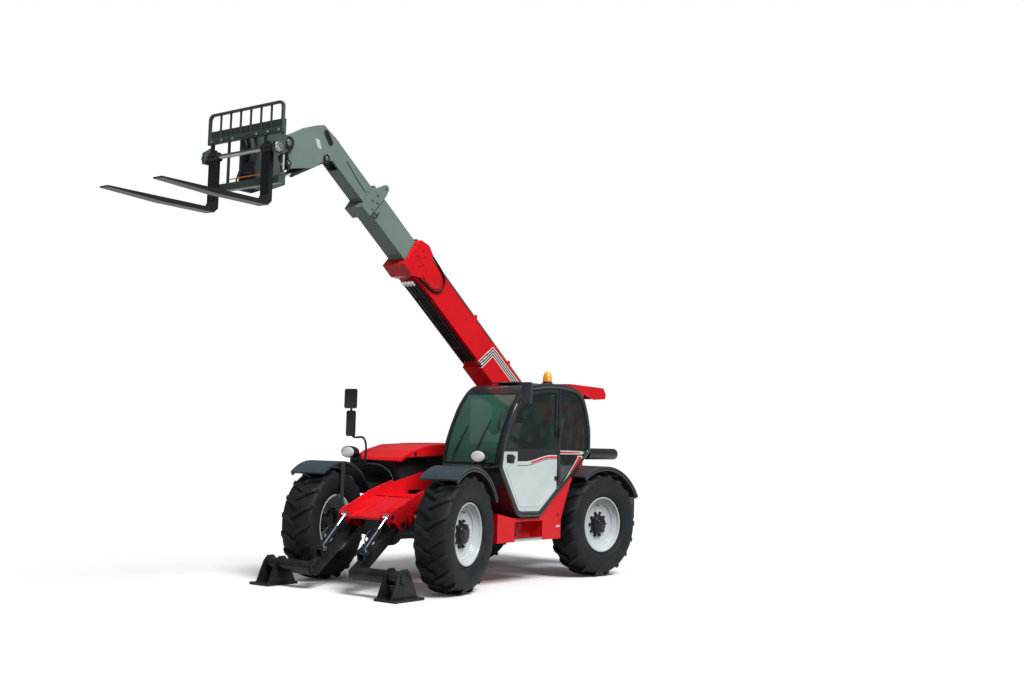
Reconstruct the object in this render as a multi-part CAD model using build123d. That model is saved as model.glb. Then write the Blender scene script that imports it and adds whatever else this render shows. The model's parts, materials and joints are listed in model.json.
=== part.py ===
from build123d import *
import math
import os

# Telehandler: a chassis with four steered wheels, a cab on the left, an engine hood on the
# right, a three-section boom with a fork carriage and two front stabilisers.
# Millimetres. +X forward, +Y to the machine's left, +Z up. While it is drawn, X = 0 is the
# rear axle, Y = 0 the centre plane and Z = 0 the ground. At the end every piece is moved by
# the same amount, so that the origin is the centre of the whole machine's footprint.

# ---------------------------------------------------------------- clearances
FIT = 0.3  # between faces that seat on each other, and round a pin
RUN = 12  # round what turns or slides freely

# ---------------------------------------------------------------- stance and wheels
WHEELBASE = 2690
TRACK = 1870
KINGPIN_INSET = 110
FRONT_STEER = 12.5
REAR_STEER = -8.0
TYRE_R = 620
TYRE_W = 400
LUG_H = 34
LUG_T = 54
LUG_ANGLE = 38
LUG_COUNT = 18
RIM_SEAT_R = 305
FLANGE_R = 330
RIM_HALF_W = 158
HUB_R = 112
HUB_BACK = 20
NUT_COUNT = 10
NUT_CIRCLE_R = 138
KINGPIN_R = 30
KNUCKLE_R = 74
STUB_R = 98
ARM_LOW = 112
ARM_HIGH = 148
FENDER_GAP = 55
FENDER_T = 23
FENDER_FROM, FENDER_TO = 55, 152

# ---------------------------------------------------------------- chassis
RAIL_Y = 171.7  # outer face of a rail
RAIL_T = 27
DECK_Z = 940
RAIL_LOW_Z = 470
REAR_END_X = -770
SADDLE_H = 150
DECK_T = 36
ENGINE_DECK_Z = 636
NOSE_Y = 368
NOSE_T = 24
NOSE_WEB_T = 20
LUG_PLATE_T = 22
LUG_GAP = 88  # between the two lug plates of a stabiliser
COUNTERWEIGHT_HALF_W = 800

# ---------------------------------------------------------------- boom
BOOM_ANGLE = 36.4
BOOM_AT = (1500, 2900)  # a point of the boom's axis
PIVOT = (-700, 2000)
PIVOT_PIN_R = 48
PIVOT_BOSS_R = 100
ELBOW_R = 140
WALL = 10
TOWER_T = 27
TOWER_TOP = 2240
# section: width, top, bottom, back end and front end along the boom's axis
SECTIONS = {
    "outer": (264, 135, -205, -1550, 1340),
    "middle": (214, 108, -172, -950, 2180),
    "inner": (168, 78, -140, -370, 2900),
}
PAD_L = 85
BASE_T = 30  # extra depth of the outer section's base
BASE_SPAN = (-1480, -430)
COLLAR_SIDE = 26
LIFT_EYE = (-1300, -480)  # along the boom and off its axis
LIFT_FOOT = (-700, 1220)
LIFT_PIN_R = 40
LIFT_BOSS_R = 72
EAR_T = 30
EAR_GAP = 140
# cylinder: barrel radius, rod radius, pin radius, width at its foot, width of its eye,
# length of the barrel, how far the rod still goes in and the length of its piston
LIFT_CYLINDER = (62, 34, LIFT_PIN_R, 120, EAR_GAP - 4, 972, 480, 22)
TILT_CYLINDER = (48, 25, 26, 110, 180, 455, 176, 0)
STAB_CYLINDER = (34, 19, 18, 72, 72, 310, 104, 22)
GLAND_L = 24

# ---------------------------------------------------------------- carriage and forks
CARRIAGE_PIN = (4455, 4470)
CARRIAGE_PIN_R = 34
TILT_FOOT = (3905, 4425)
TILT_EYE = (4530, 4090)
HEAD_SIDE = 6  # how far the head plates stand out from the inner section
CHEEK_T = 26
FRAME_X = 4860
FRAME_T = 30
FRAME_HALF_W = 520
POST_W = 30
SHAFT_AT = (4945, 4275)
SHAFT_R = 24
FORK_HEEL_X = 4950
FORK_TOP_Z = 3770
FORK_SPACING = 760
FORK_W = 120
FORK_T = 45
FORK_L = 1200
BACKREST_Z = (4420, 4730)
BACKREST_T = 30
BACKREST_BARS = 6

# ---------------------------------------------------------------- cab
CAB_RIGHT, CAB_LEFT = 172, 980
CAB_WALL = 45
GLASS_T = 8
B_POST = 870
DOOR_FRAME = 58
DOOR_GAP = 6
DOOR_T = 38
BELT_Z = (1455, 1500)

# ---------------------------------------------------------------- hood
HOOD_OUT, HOOD_IN, LID_IN = -1010, -372, -270
HOOD_WALL = 12

# ---------------------------------------------------------------- stabilisers
STAB_Y = 300
LEG_PIVOT = (2850, 690)
LEG_PIN_R = 24
STAB_EYE = (3020, 770)
LEG_W = 80
STAB_FOOT = (3370, 420)
TUBE_AT = (3470, 215)
TUBE_R = 70
TUBE_END_Y = 950
PAD_Y = (760, 1040)
PAD_X = (3250, 3680)
PAD_T = 28
PAD_WEB_T = 16

# ---------------------------------------------------------------- helpers


def plate(points, y0, y1):
    """A plate with its outline in X and Z, from y0 to y1."""
    face = make_face(Polyline(*[(x, y0, z) for x, z in points], close=True))
    return extrude(face, amount=y1 - y0, dir=(0, 1, 0))


def smooth_plate(points, radius, y0, y1):
    """The same with every corner rounded."""
    face = make_face(FilletPolyline(*[(x, y0, z) for x, z in points], radius=radius, close=True))
    return extrude(face, amount=y1 - y0, dir=(0, 1, 0))


def shrunk_plate(points, by, y0, y1, radii=None):
    """The same with its outline moved inwards."""
    outline = FilletPolyline(*points, radius=radii, close=True) if radii else Polyline(*points, close=True)
    face = make_face(outline)
    smaller = offset(face, amount=-by, kind=Kind.INTERSECTION)
    return Pos(0, y1, 0) * Rot(90, 0, 0) * extrude(smaller, amount=y1 - y0)


def block(x0, x1, y0, y1, z0, z1):
    return Pos((x0 + x1) / 2, (y0 + y1) / 2, (z0 + z1) / 2) * Box(x1 - x0, y1 - y0, z1 - z0)


def rod(start, end, radius):
    """A round bar between two points."""
    start, end = Vector(*start), Vector(*end)
    axis = end - start
    return Solid.make_cylinder(radius, axis.length, Plane(origin=start, z_dir=axis))


def pin_y(at, y0, y1, radius):
    """A round bar along Y at a point of the XZ plane."""
    return rod((at[0], y0, at[1]), (at[0], y1, at[1]), radius)


def turned(profile):
    """A piece turned about the Y axis: profile is a list of (along the axis, radius)."""
    return revolve(make_face(Polyline(*[(0, y, r) for y, r in profile], close=True)), Axis.Y)


def bent_tube(points, bend, radius):
    """A round tube along straight runs with rounded bends."""
    path = FilletPolyline(*points, radius=bend)
    return sweep(Plane(origin=path @ 0, z_dir=path % 0) * Circle(radius), path)


def boom_point(along, off):
    """A point of the centre plane, from its place along the boom and its height off the axis."""
    a = math.radians(BOOM_ANGLE)
    x = BOOM_AT[0] + along * math.cos(a) - off * math.sin(a)
    return (x, BOOM_AT[1] + along * math.sin(a) + off * math.cos(a))


def boom_plate(points, y0, y1):
    return plate([boom_point(*p) for p in points], y0, y1)


def boom_box(s0, s1, bottom, top, width):
    return boom_plate([(s0, bottom), (s1, bottom), (s1, top), (s0, top)], -width / 2, width / 2)


def mirrored(shape):
    return mirror(shape, Plane.XZ)


def both(shape):
    return shape + mirrored(shape)


nodes = {}

# ================================================================ wheels


def make_tyre():
    bead = RIM_HALF_W - 18
    tread = TYRE_R - LUG_H
    half = [
        (bead, RIM_SEAT_R),
        (bead, FLANGE_R + 6),
        (TYRE_W / 2 - 22, FLANGE_R + 24),
        (TYRE_W / 2, 430),
        (TYRE_W / 2, 505),
        (TYRE_W / 2 - 20, tread - 22),
        (TYRE_W / 2 - 75, tread),
    ]
    carcass = turned(half + [(-y, r) for y, r in reversed(half)])
    reach = TYRE_W / 2
    side = [
        (-12, tread - 14),
        (-12, TYRE_R - 1),
        (reach - 40, TYRE_R - 12),
        (reach + 4, TYRE_R - 34),
        (reach + 6, TYRE_R - 96),
        (reach - 14, TYRE_R - 110),
        (reach - 80, tread - 16),
    ]
    bar = make_face(Polyline(*[(0, y, z) for y, z in side], close=True))
    bar = Pos(-LUG_T / 2, 0, 0) * extrude(bar, amount=LUG_T, dir=(1, 0, 0))
    left = Rot(0, 0, LUG_ANGLE) * bar
    right = mirrored(left)
    step = 360 / LUG_COUNT
    lugs = [Rot(0, i * step, 0) * left for i in range(LUG_COUNT)]
    lugs += [Rot(0, (i + 0.5) * step, 0) * right for i in range(LUG_COUNT)]
    return carcass + lugs


def make_rim():
    seat = RIM_SEAT_R - FIT
    edge = RIM_HALF_W - 18 + FIT
    profile = [
        (-RIM_HALF_W, FLANGE_R - 14),
        (-RIM_HALF_W, FLANGE_R),
        (-edge, FLANGE_R),
        (-edge, seat),
        (edge, seat),
        (edge, FLANGE_R),
        (RIM_HALF_W, FLANGE_R),
        (RIM_HALF_W, FLANGE_R - 16),
        (120, 286),
        (76, 232),
        (66, 190),
        (66, HUB_R),
        (126, HUB_R),
        (140, HUB_R - 22),
        (140, 0),
        (-HUB_BACK, 0),
        (-HUB_BACK, HUB_R - 12),
        (48, HUB_R),
        (50, 190),
        (60, 230),
        (98, 272),
        (98, seat - 15),
        (-edge, seat - 15),
    ]
    rim = turned(profile)
    nut = Pos(NUT_CIRCLE_R, 60, 0) * Rot(-90, 0, 0) * extrude(RegularPolygon(15, 6), amount=34)
    return rim + [Rot(0, i * 360 / NUT_COUNT, 0) * nut for i in range(NUT_COUNT)]


def make_knuckle():
    """Steered hub carrier round the kingpin at the origin, with its stub towards +Y."""
    body = pin_y((0, 0), 0, KINGPIN_INSET - HUB_BACK - FIT, STUB_R)
    body += rod((0, 0, -ARM_LOW), (0, 0, ARM_LOW), KNUCKLE_R)
    top = ARM_HIGH + 20
    return body + rod((0, 0, -top), (0, 0, top), KINGPIN_R)


def make_fender():
    """Arched guard over the tyre, carried by a bracket from the top of the kingpin."""
    r0 = TYRE_R + FENDER_GAP
    r1 = r0 + FENDER_T
    y0 = KINGPIN_INSET - TYRE_W / 2 - 28
    y1 = KINGPIN_INSET + TYRE_W / 2 - 6
    wedge = [(0, 0)]
    for k in range(5):
        a = math.radians(FENDER_FROM + (FENDER_TO - FENDER_FROM) * k / 4)
        wedge.append((2 * TYRE_R * math.cos(a), 2 * TYRE_R * math.sin(a)))
    ring = pin_y((0, 0), y0, y1, r1) - pin_y((0, 0), y0 - 5, y1 + 5, r0)
    lip = pin_y((0, 0), y1 - 10, y1 + 12, r1) - pin_y((0, 0), y1 - 15, y1 + 17, r0 - 28)
    shell = (ring + lip) & plate(wedge, y0 - 10, y1 + 20)
    top = ARM_HIGH + 20 + FIT
    shell += block(-32, 32, y0, y0 + 12, top, r0 + 5)
    return shell + block(-32, 32, y0, KINGPIN_R, top, top + 12)


KINGPIN_Y = TRACK / 2 - KINGPIN_INSET


def make_axle():
    """Axle beam with a differential casing and a forked end round each kingpin."""
    web = KINGPIN_Y - 112
    half = turned([(0, 190), (90, 180), (150, 120), (230, 92), (web - 40, 84), (web - 40, 0), (0, 0)])
    beam = both(half) + rod((-230, 0, 0), (230, 0, 0), 120)
    end = block(-70, 70, web - 42, web, -ARM_HIGH, ARM_HIGH)
    for low, high in ((ARM_LOW + FIT, ARM_HIGH), (-ARM_HIGH, -ARM_LOW - FIT)):
        end += block(-62, 62, web - 10, KINGPIN_Y, low, high)
        end += rod((0, KINGPIN_Y, low), (0, KINGPIN_Y, high), 62)
    end -= rod((0, KINGPIN_Y, -ARM_HIGH - 5), (0, KINGPIN_Y, ARM_HIGH + 5), KINGPIN_R + FIT)
    saddle = block(-150, 150, -204, 204, 60, SADDLE_H)
    return Pos(0, 0, TYRE_R) * (beam + both(end) + saddle)


tyre, rim, knuckle, fender = make_tyre(), make_rim(), make_knuckle(), make_fender()
# corner: place along the machine, side, steering angle at rest
CORNERS = {
    "front_left": (WHEELBASE, 1, FRONT_STEER),
    "front_right": (WHEELBASE, -1, FRONT_STEER),
    "rear_left": (0, 1, REAR_STEER),
    "rear_right": (0, -1, REAR_STEER),
}
for corner, (x, side, steer) in CORNERS.items():
    place = Pos(x, side * KINGPIN_Y, TYRE_R) * Rot(0, 0, steer)
    hub = place * Pos(0, side * KINGPIN_INSET, 0)
    for piece, shape, at in (
        ("tyre", tyre, hub),
        ("rim", rim, hub),
        ("knuckle", knuckle, place),
        ("fender", fender, place),
    ):
        nodes[f"{piece}_{corner}"] = at * (shape if side > 0 else mirrored(shape))
nodes["axle_front"] = Pos(WHEELBASE, 0, 0) * make_axle()
nodes["axle_rear"] = make_axle()

# ================================================================ chassis
SADDLE_Z = TYRE_R + SADDLE_H + FIT
NOSE_TOP = [(1900, DECK_Z), (2540, 930), (2850, 795)]
rail_side = [
    (REAR_END_X, 560),
    (-320, 560),
    (-230, SADDLE_Z),
    (230, SADDLE_Z),
    (330, RAIL_LOW_Z),
    (2300, RAIL_LOW_Z),
    (2460, SADDLE_Z),
    (2850, SADDLE_Z),
]
rail_side += NOSE_TOP[::-1] + [(REAR_END_X, DECK_Z)]
RAIL_IN = RAIL_Y - RAIL_T
frame = both(plate(rail_side, RAIL_IN, RAIL_Y))
# cross members: x0, x1, z0, z1
for x0, x1, z0, z1 in (
    (REAR_END_X, REAR_END_X + 40, 560, 800),
    (330, 370, RAIL_LOW_Z, 780),
    (1180, 1230, RAIL_LOW_Z, 800),
    (2250, 2300, 500, 920),
):
    frame += block(x0, x1, -RAIL_IN - 1, RAIL_IN + 1, z0, z1)
# shelf under the engine
frame += block(745, 1960, HOOD_OUT, -RAIL_Y + 1, ENGINE_DECK_Z - DECK_T, ENGINE_DECK_Z)
nodes["chassis"] = frame

# upright plates that carry the boom's hinge, and the cover over their top
tower_side = [
    (-760, DECK_Z - 160),
    (-60, DECK_Z - 160),
    (-60, 1180),
    (-400, 1720),
    (-470, 2060),
    (-560, TOWER_TOP),
    (-850, TOWER_TOP),
    (-860, 1210),
    (-760, 1120),
]
TOWER_IN = RAIL_Y + FIT
tower = plate(tower_side, TOWER_IN, TOWER_IN + TOWER_T)
for at, boss_r, pin_r in ((PIVOT, PIVOT_BOSS_R, PIVOT_PIN_R), (LIFT_FOOT, LIFT_BOSS_R, LIFT_PIN_R)):
    tower += pin_y(at, TOWER_IN, TOWER_IN + TOWER_T + 20, boss_r)
    tower -= pin_y(at, 100, 300, pin_r + FIT)
tower = both(tower)
cover_z = TOWER_TOP + FIT
cover_side = [
    (-480, cover_z),
    (-860, cover_z),
    (-1110, 2170),
    (-1385, 2190),
    (-1405, 2255),
    (-1335, 2338),
    (-520, 2352),
]
cover_hollow = [
    (-400, 2100),
    (-860, 2100),
    (-1080, 2100),
    (-1360, 2180),
    (-1380, 2255),
    (-1325, 2322),
    (-400, 2338),
]
COVER_HALF_W = TOWER_IN + TOWER_T - 2
cover = plate(cover_side, -COVER_HALF_W, COVER_HALF_W)
cover -= plate(cover_hollow, -COVER_HALF_W + 14, COVER_HALF_W - 14)
nodes["boom_tower"] = tower + cover

nodes["counterweight"] = smooth_plate(
    [
        (REAR_END_X - FIT, 560),
        (REAR_END_X - FIT, 1110),
        (-1100, 1110),
        (-1190, 960),
        (-1190, 640),
        (-1110, 560),
    ],
    30,
    -COUNTERWEIGHT_HALF_W,
    COUNTERWEIGHT_HALF_W,
)

# front frame between the wheels, with the lugs that hold the stabilisers
LUG_IN = STAB_Y - LUG_GAP / 2
LUG_OUT = STAB_Y + LUG_GAP / 2
lug_low = [
    (3040, 815),
    (3066, 770),
    (3040, 722),
    (2950, 690),
    (2905, 640),
    (2850, 622),
    (2795, 645),
    (2775, 760),
]
cheek_left = [(2020, 720), (2020, 1160), (2590, 1015), (2900, 855)]
cheek_left += lug_low + [(2500, 900), (2330, 880), (2280, 720)]
cheek_right = [(1500, 1000), (1500, 1226), (1710, 1204), (2590, 1015), (2900, 855)]
cheek_right += lug_low + [(2500, 900), (2330, 880), (2280, 720), (2020, 720), (1960, 1000)]
inner_lug = lug_low + [(2690, 860), (2900, 850)]
nose = plate(cheek_left, LUG_OUT, LUG_OUT + NOSE_T)
nose += mirrored(plate(cheek_right, LUG_OUT, LUG_OUT + NOSE_T))
web_low = [(x, z + FIT) for x, z in NOSE_TOP]
web_top = [(x + 8, z + NOSE_WEB_T + FIT) for x, z in reversed(NOSE_TOP)]
web_side = [(2020, web_low[0][1])] + web_low[1:] + [(3040, 725), (3040, 748)] + web_top[:-1]
web_side += [(2020, web_low[0][1] + NOSE_WEB_T)]
web = plate(web_side, -LUG_OUT - 1, LUG_OUT + 1)
for sign in (1, -1):
    y0, y1 = sorted((sign * LUG_IN, sign * (LUG_OUT)))
    web -= block(2760, 3100, y0, y1, 600, 745 + 60)
nose += web + both(plate(inner_lug, LUG_IN - LUG_PLATE_T, LUG_IN))
nose += both(block(2020, 2044, RAIL_Y + FIT, LUG_OUT + 1, 720, web_low[0][1] + 2))
for at, radius in ((LEG_PIVOT, LEG_PIN_R), (STAB_EYE, STAB_CYLINDER[2])):
    nose -= pin_y(at, -NOSE_Y - 10, NOSE_Y + 10, radius + FIT)
nodes["nose"] = nose

# ================================================================ side sill and tank under the cab
SILL_Y = 950
sill_side = [
    (1960, 480),
    (1960, 800),
    (1660, 742),
    (1190, 732),
    (530, 1205),
    (520, 1150),
    (560, 1100),
    (735, 700),
    (735, 480),
]
SILL_WALL = 12
STEP_DEPTH = 160
sill = plate(sill_side, RAIL_Y + FIT, SILL_Y)
sill -= shrunk_plate(sill_side, SILL_WALL, RAIL_Y + SILL_WALL, SILL_Y - STEP_DEPTH - SILL_WALL)
step_hole = [(1110, 505), (1650, 505), (1650, 700), (1110, 700)]
nodes["side_tank"] = sill - plate(step_hole, SILL_Y - STEP_DEPTH, SILL_Y + 5)

# ================================================================ cab
cab_side = [
    (1995, 1290),
    (1963, 1536),
    (1865, 1755),
    (1745, 1972),
    (1600, 2135),
    (1480, 2215),
    (1100, 2265),
    (800, 2268),
    (570, 2248),
    (400, 2190),
    (310, 2090),
    (235, 1920),
    (183, 1740),
    (183, 1485),
    (1205, 745),
    (1640, 755),
]
# radius of each corner of the outline
CAB_RADII = [120, 700, 700, 700, 500, 300, 700, 700, 500, 250, 400, 600, 500, 120, 150, 150]
CAB_MID = (CAB_RIGHT + CAB_LEFT) / 2
cab_solid = smooth_plate(cab_side, CAB_RADII, CAB_RIGHT, CAB_LEFT)


def cab_slice(by, y0, y1):
    """The cab's side outline moved inwards, from y0 to y1."""
    return shrunk_plate(cab_side, by, y0, y1, CAB_RADII)


cab_room = cab_slice(CAB_WALL, CAB_RIGHT + CAB_WALL, CAB_LEFT - CAB_WALL)
side_hole = cab_slice(DOOR_FRAME, CAB_LEFT - CAB_WALL - 5, CAB_LEFT + 5)
FRONT_GLASS = (1440, 2100, CAB_RIGHT + 50, CAB_LEFT - 50, 1345, 2120)
REAR_GLASS = (100, 420, CAB_RIGHT + 60, CAB_LEFT - 60, 1520, 2080)
RIGHT_GLASS = (420, 1560, CAB_RIGHT, CAB_RIGHT + CAB_WALL, 1330, 2080)


def grown(box, by):
    x0, x1, y0, y1, z0, z1 = box
    return block(x0 - by, x1 + by, y0 - by, y1 + by, z0 - by, z1 + by)


shell = cab_solid - cab_room
shell -= side_hole & block(B_POST + 6, 2100, 0, 1200, 0, 2300)
for z0, z1 in ((0, BELT_Z[0]), (BELT_Z[1], 2300)):
    shell -= side_hole & block(0, B_POST - 50, 0, 1200, z0, z1)
shell -= grown(FRONT_GLASS, 0) + grown(REAR_GLASS, 0)
x0, x1, y0, y1, z0, z1 = RIGHT_GLASS
shell -= block(x0, x1, y0 - 5, y1 + 5, z0, z1)
HINGE_AT = (B_POST + 2, CAB_LEFT + 12)
HINGE_R = 11
HINGE_Z = (1180, 1700)
for z in HINGE_Z:
    for low, high in ((-62, -22), (22, 62)):
        shell += Pos(HINGE_AT[0], HINGE_AT[1], z + (low + high) / 2) * Cylinder(HINGE_R, high - low)
        shell += block(B_POST - 44, HINGE_AT[0], CAB_LEFT - 4, CAB_LEFT + 8, z + low, z + high)
nodes["cab"] = shell

glass_skin = cab_solid - cab_slice(GLASS_T, CAB_RIGHT - 5, CAB_LEFT + 5)
glass = (glass_skin & grown(FRONT_GLASS, -FIT)) + (glass_skin & grown(REAR_GLASS, -FIT))
glass += block(x0 + FIT, x1 - FIT, y0 + 6, y0 + 6 + GLASS_T, z0 + FIT, z1 - FIT)
pane = cab_slice(DOOR_FRAME + FIT, CAB_LEFT - 6 - GLASS_T, CAB_LEFT - 6)
for z0, z1 in ((0, BELT_Z[0] - FIT), (BELT_Z[1] + FIT, 2300)):
    glass += pane & block(0, B_POST - 50 - FIT, 0, 1200, z0, z1)
nodes["cab_glass"] = glass

# door: a thick lower panel with a window frame above the belt line
door_y1 = CAB_LEFT - 2
door_y0 = door_y1 - DOOR_T
edge = DOOR_FRAME + DOOR_GAP
door = cab_slice(edge, door_y0, door_y1) & block(B_POST + 6 + DOOR_GAP, 2100, 0, 1200, 0, 2300)
SASH = 34
DOOR_SILL_Z = BELT_Z[1] + 10
door -= cab_slice(edge + SASH, door_y0 - 5, door_y1 + 5) & block(
    B_POST + 6 + DOOR_GAP + SASH, 2100, 0, 1200, DOOR_SILL_Z, 2300
)
door += block(1740, 1860, door_y1 - 2, door_y1 + 26, 1395, 1425)
for z in HINGE_Z:
    door += Pos(HINGE_AT[0], HINGE_AT[1], z) * Cylinder(HINGE_R, 44 - 2 * FIT)
    door += block(HINGE_AT[0], B_POST + 60, CAB_LEFT + FIT, CAB_LEFT + 8, z - 22 + FIT, z + 22 - FIT)
    door += block(B_POST + 16, B_POST + 60, door_y1 - 2, CAB_LEFT + 8, z - 22 + FIT, z + 22 - FIT)
nodes["door"] = door
nodes["door_glass"] = cab_slice(edge + SASH + FIT, door_y1 - 16, door_y1 - 16 + GLASS_T) & block(
    B_POST + 6 + DOOR_GAP + SASH + FIT, 2100, 0, 1200, DOOR_SILL_Z + FIT, 2300
)

# seat, console, dash and steering wheel
SEAT_Z = 1230
inside = cab_slice(CAB_WALL + FIT, CAB_RIGHT + CAB_WALL + FIT, CAB_LEFT - CAB_WALL - FIT)
seat = block(760, 1240, CAB_MID - 240, CAB_MID + 240, SEAT_Z, SEAT_Z + 100)
seat += plate([(740, 1330), (860, 1330), (790, 1850), (690, 1850)], CAB_MID - 220, CAB_MID + 220)
nodes["seat"] = seat
fittings = block(760, 1180, CAB_MID - 180, CAB_MID + 180, 800, SEAT_Z - FIT) & inside
dash_side = [(1540, 700), (1960, 900), (1960, 1280), (1830, 1370), (1660, 1330), (1560, 1100)]
fittings += plate(dash_side, CAB_RIGHT + CAB_WALL, 700) & inside
WHEEL_AT = (1520, CAB_MID, 1500)
WHEEL_RAKE = -25
fittings += rod((1690, CAB_MID, 1230), (1525, CAB_MID, 1492), 30)
fittings += Pos(*WHEEL_AT) * Rot(0, WHEEL_RAKE, 0) * (
    Cylinder(182, 22) - Cylinder(158, 30) + Box(330, 34, 12) + Box(34, 330, 12) + Cylinder(40, 20)
)
nodes["cab_fittings"] = fittings

# ================================================================ engine and hood on the right
nodes["engine"] = block(770, 1720, -900, -400, ENGINE_DECK_Z + FIT, 1290)
hood_side = [
    (745, ENGINE_DECK_Z + FIT),
    (1955, ENGINE_DECK_Z + FIT),
    (1955, 930),
    (2030, 1060),
    (2150, 1200),
    (2190, 1325),
    (2100, 1375),
    (480, 1440),
    (480, 1290),
    (520, 1215),
    (520, 1150),
    (560, 1100),
    (740, 700),
]
hood = plate(hood_side, HOOD_OUT, HOOD_IN)
hood -= shrunk_plate(hood_side, HOOD_WALL, HOOD_OUT + HOOD_WALL, HOOD_IN - HOOD_WALL)
hood -= block(770, 1930, HOOD_OUT + HOOD_WALL, HOOD_IN - HOOD_WALL, 600, 700)
hood_mouth = [(500, 1380), (2060, 1330), (2060, 1500), (500, 1500)]
hood -= plate(hood_mouth, HOOD_OUT + HOOD_WALL, HOOD_IN - HOOD_WALL)
hood += block(2150, 2262, -1000, -770, 1268, 1298)
LID_HINGE = (480, 1500)
LID_HINGE_R = 13
LID_HINGE_Y = (-900, -420)
for y in LID_HINGE_Y:
    hood += block(462, 480, y - 24, y + 24, 1380, LID_HINGE[1])
    hood += pin_y(LID_HINGE, y - 24, y + 24, LID_HINGE_R)
nodes["hood_body"] = hood
lid_side = [
    (480, 1440 + FIT),
    (2100, 1375 + FIT),
    (2190, 1325 + FIT),
    (2215, 1338),
    (2180, 1372),
    (1990, 1452),
    (1720, 1515),
    (1200, 1540),
    (480, 1540),
]
lid_hollow = [(500, 1400), (2080, 1340), (1985, 1436), (1715, 1499), (1200, 1524), (500, 1524)]
lid = plate(lid_side, HOOD_OUT, LID_IN)
lid -= plate(lid_hollow, HOOD_OUT + HOOD_WALL + 2, LID_IN - HOOD_WALL - 2)
for y in LID_HINGE_Y:
    lid -= pin_y(LID_HINGE, y - 26, y + 26, LID_HINGE_R + 4)
    lid += pin_y(LID_HINGE, y + 26, y + 66, LID_HINGE_R)
nodes["hood_lid"] = lid

# ================================================================ boom
OUT_W, OUT_TOP, OUT_BOT, OUT_S0, OUT_S1 = SECTIONS["outer"]
MID_W, MID_TOP, MID_BOT, MID_S0, MID_S1 = SECTIONS["middle"]
IN_W, IN_TOP, IN_BOT, IN_S0, IN_S1 = SECTIONS["inner"]
ends = {}
for name, (width, top, bottom, s0, s1) in SECTIONS.items():
    tube = boom_box(s0, s1, bottom, top, width)
    ends[name] = tube - boom_box(s0 - 5, s1 + 5, bottom + WALL, top - WALL, width - 2 * WALL)


def wear_pads(carrier, runner, s0, s1):
    """A frame of pads inside the carrier's mouth that the runner slides in."""
    width, top, bottom = SECTIONS[carrier][:3]
    w, t, b = SECTIONS[runner][:3]
    pads = boom_box(s0, s1, bottom + WALL - 1, top - WALL + 1, width - 2 * WALL + 2)
    return pads - boom_box(s0 - 5, s1 + 5, b - FIT, t + FIT, w + 2 * FIT)


def heel_pads(runner, carrier, s0, s1):
    """A frame of pads round the runner's back end that slides in the carrier."""
    width, top, bottom = SECTIONS[carrier][:3]
    w, t, b = SECTIONS[runner][:3]
    pads = boom_box(s0, s1, bottom + WALL + FIT, top - WALL - FIT, width - 2 * WALL - 2 * FIT)
    return pads - boom_box(s0 - 5, s1 + 5, b + 1, t - 1, w - 2)


outer = ends["outer"]
collar = boom_plate(
    [(1020, -168), (1165, -262), (1345, -256), (1300, 152), (1165, 200), (1040, 160)],
    -OUT_W / 2 - COLLAR_SIDE,
    OUT_W / 2 + COLLAR_SIDE,
)
outer += collar - boom_box(900, 1500, OUT_BOT + WALL, OUT_TOP - WALL, OUT_W - 2 * WALL)
outer += wear_pads("outer", "middle", OUT_S1 - 15 - PAD_L, OUT_S1 - 15)
base = boom_box(*BASE_SPAN, OUT_BOT - BASE_T, OUT_TOP + 4, OUT_W + 16)
outer += base - boom_box(BASE_SPAN[0] - 5, BASE_SPAN[1] + 5, OUT_BOT + 2, OUT_TOP - 2, OUT_W - 4)
nodes["boom_outer"] = outer

# gooseneck plates from the boom's back end down to its hinge, and the ears of the lift cylinder
px, pz = PIVOT
NECK_Y = OUT_W / 2
neck_side = [
    boom_point(OUT_S0, OUT_BOT + 15),
    boom_point(OUT_S0, OUT_TOP + 4),
    boom_point(-1250, OUT_TOP + 4),
    (px + 60, pz + ELBOW_R),
    (px - 60, pz + ELBOW_R),
    (px - ELBOW_R, pz + 40),
    (px - ELBOW_R, pz - 60),
]
neck = plate(neck_side, NECK_Y - 24, NECK_Y)
neck += pin_y(PIVOT, NECK_Y - 24, TOWER_IN - FIT, PIVOT_BOSS_R)
neck -= pin_y(PIVOT, 60, 300, PIVOT_PIN_R + FIT)
heel = both(neck) + boom_box(OUT_S0 - 20, OUT_S0 - FIT, OUT_BOT + 15, OUT_TOP, 2 * NECK_Y - 40)
eye_s, eye_off = LIFT_EYE
lift_eye = boom_point(*LIFT_EYE)
ear_top = OUT_BOT - BASE_T - FIT
ear = [
    (eye_s - 150, ear_top),
    (eye_s + 150, ear_top),
    (eye_s + 60, eye_off - 60),
    (eye_s - 60, eye_off - 60),
]
ears = boom_plate(ear, EAR_GAP / 2, EAR_GAP / 2 + EAR_T) - pin_y(lift_eye, 0, 150, LIFT_PIN_R + FIT)
stub = pin_y(lift_eye, EAR_GAP / 2 - 1, EAR_GAP / 2 + EAR_T + 16, LIFT_PIN_R)
nodes["boom_heel"] = heel + both(ears + stub)

middle = ends["middle"]
collar = boom_plate(
    [(2035, -215), (2185, -224), (2186, 30), (2120, 130), (2065, 236), (2005, 226), (1990, 130)],
    -MID_W / 2 - COLLAR_SIDE + 4,
    MID_W / 2 + COLLAR_SIDE - 4,
)
collar -= boom_box(1900, 2300, MID_TOP, 400, MID_W - 60)
middle += collar - boom_box(1900, 2300, MID_BOT + WALL, MID_TOP - WALL, MID_W - 2 * WALL)
middle += wear_pads("middle", "inner", MID_S1 - 10 - PAD_L, MID_S1 - 10)
nodes["boom_middle"] = middle + heel_pads("middle", "outer", MID_S0, MID_S0 + PAD_L)

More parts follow.
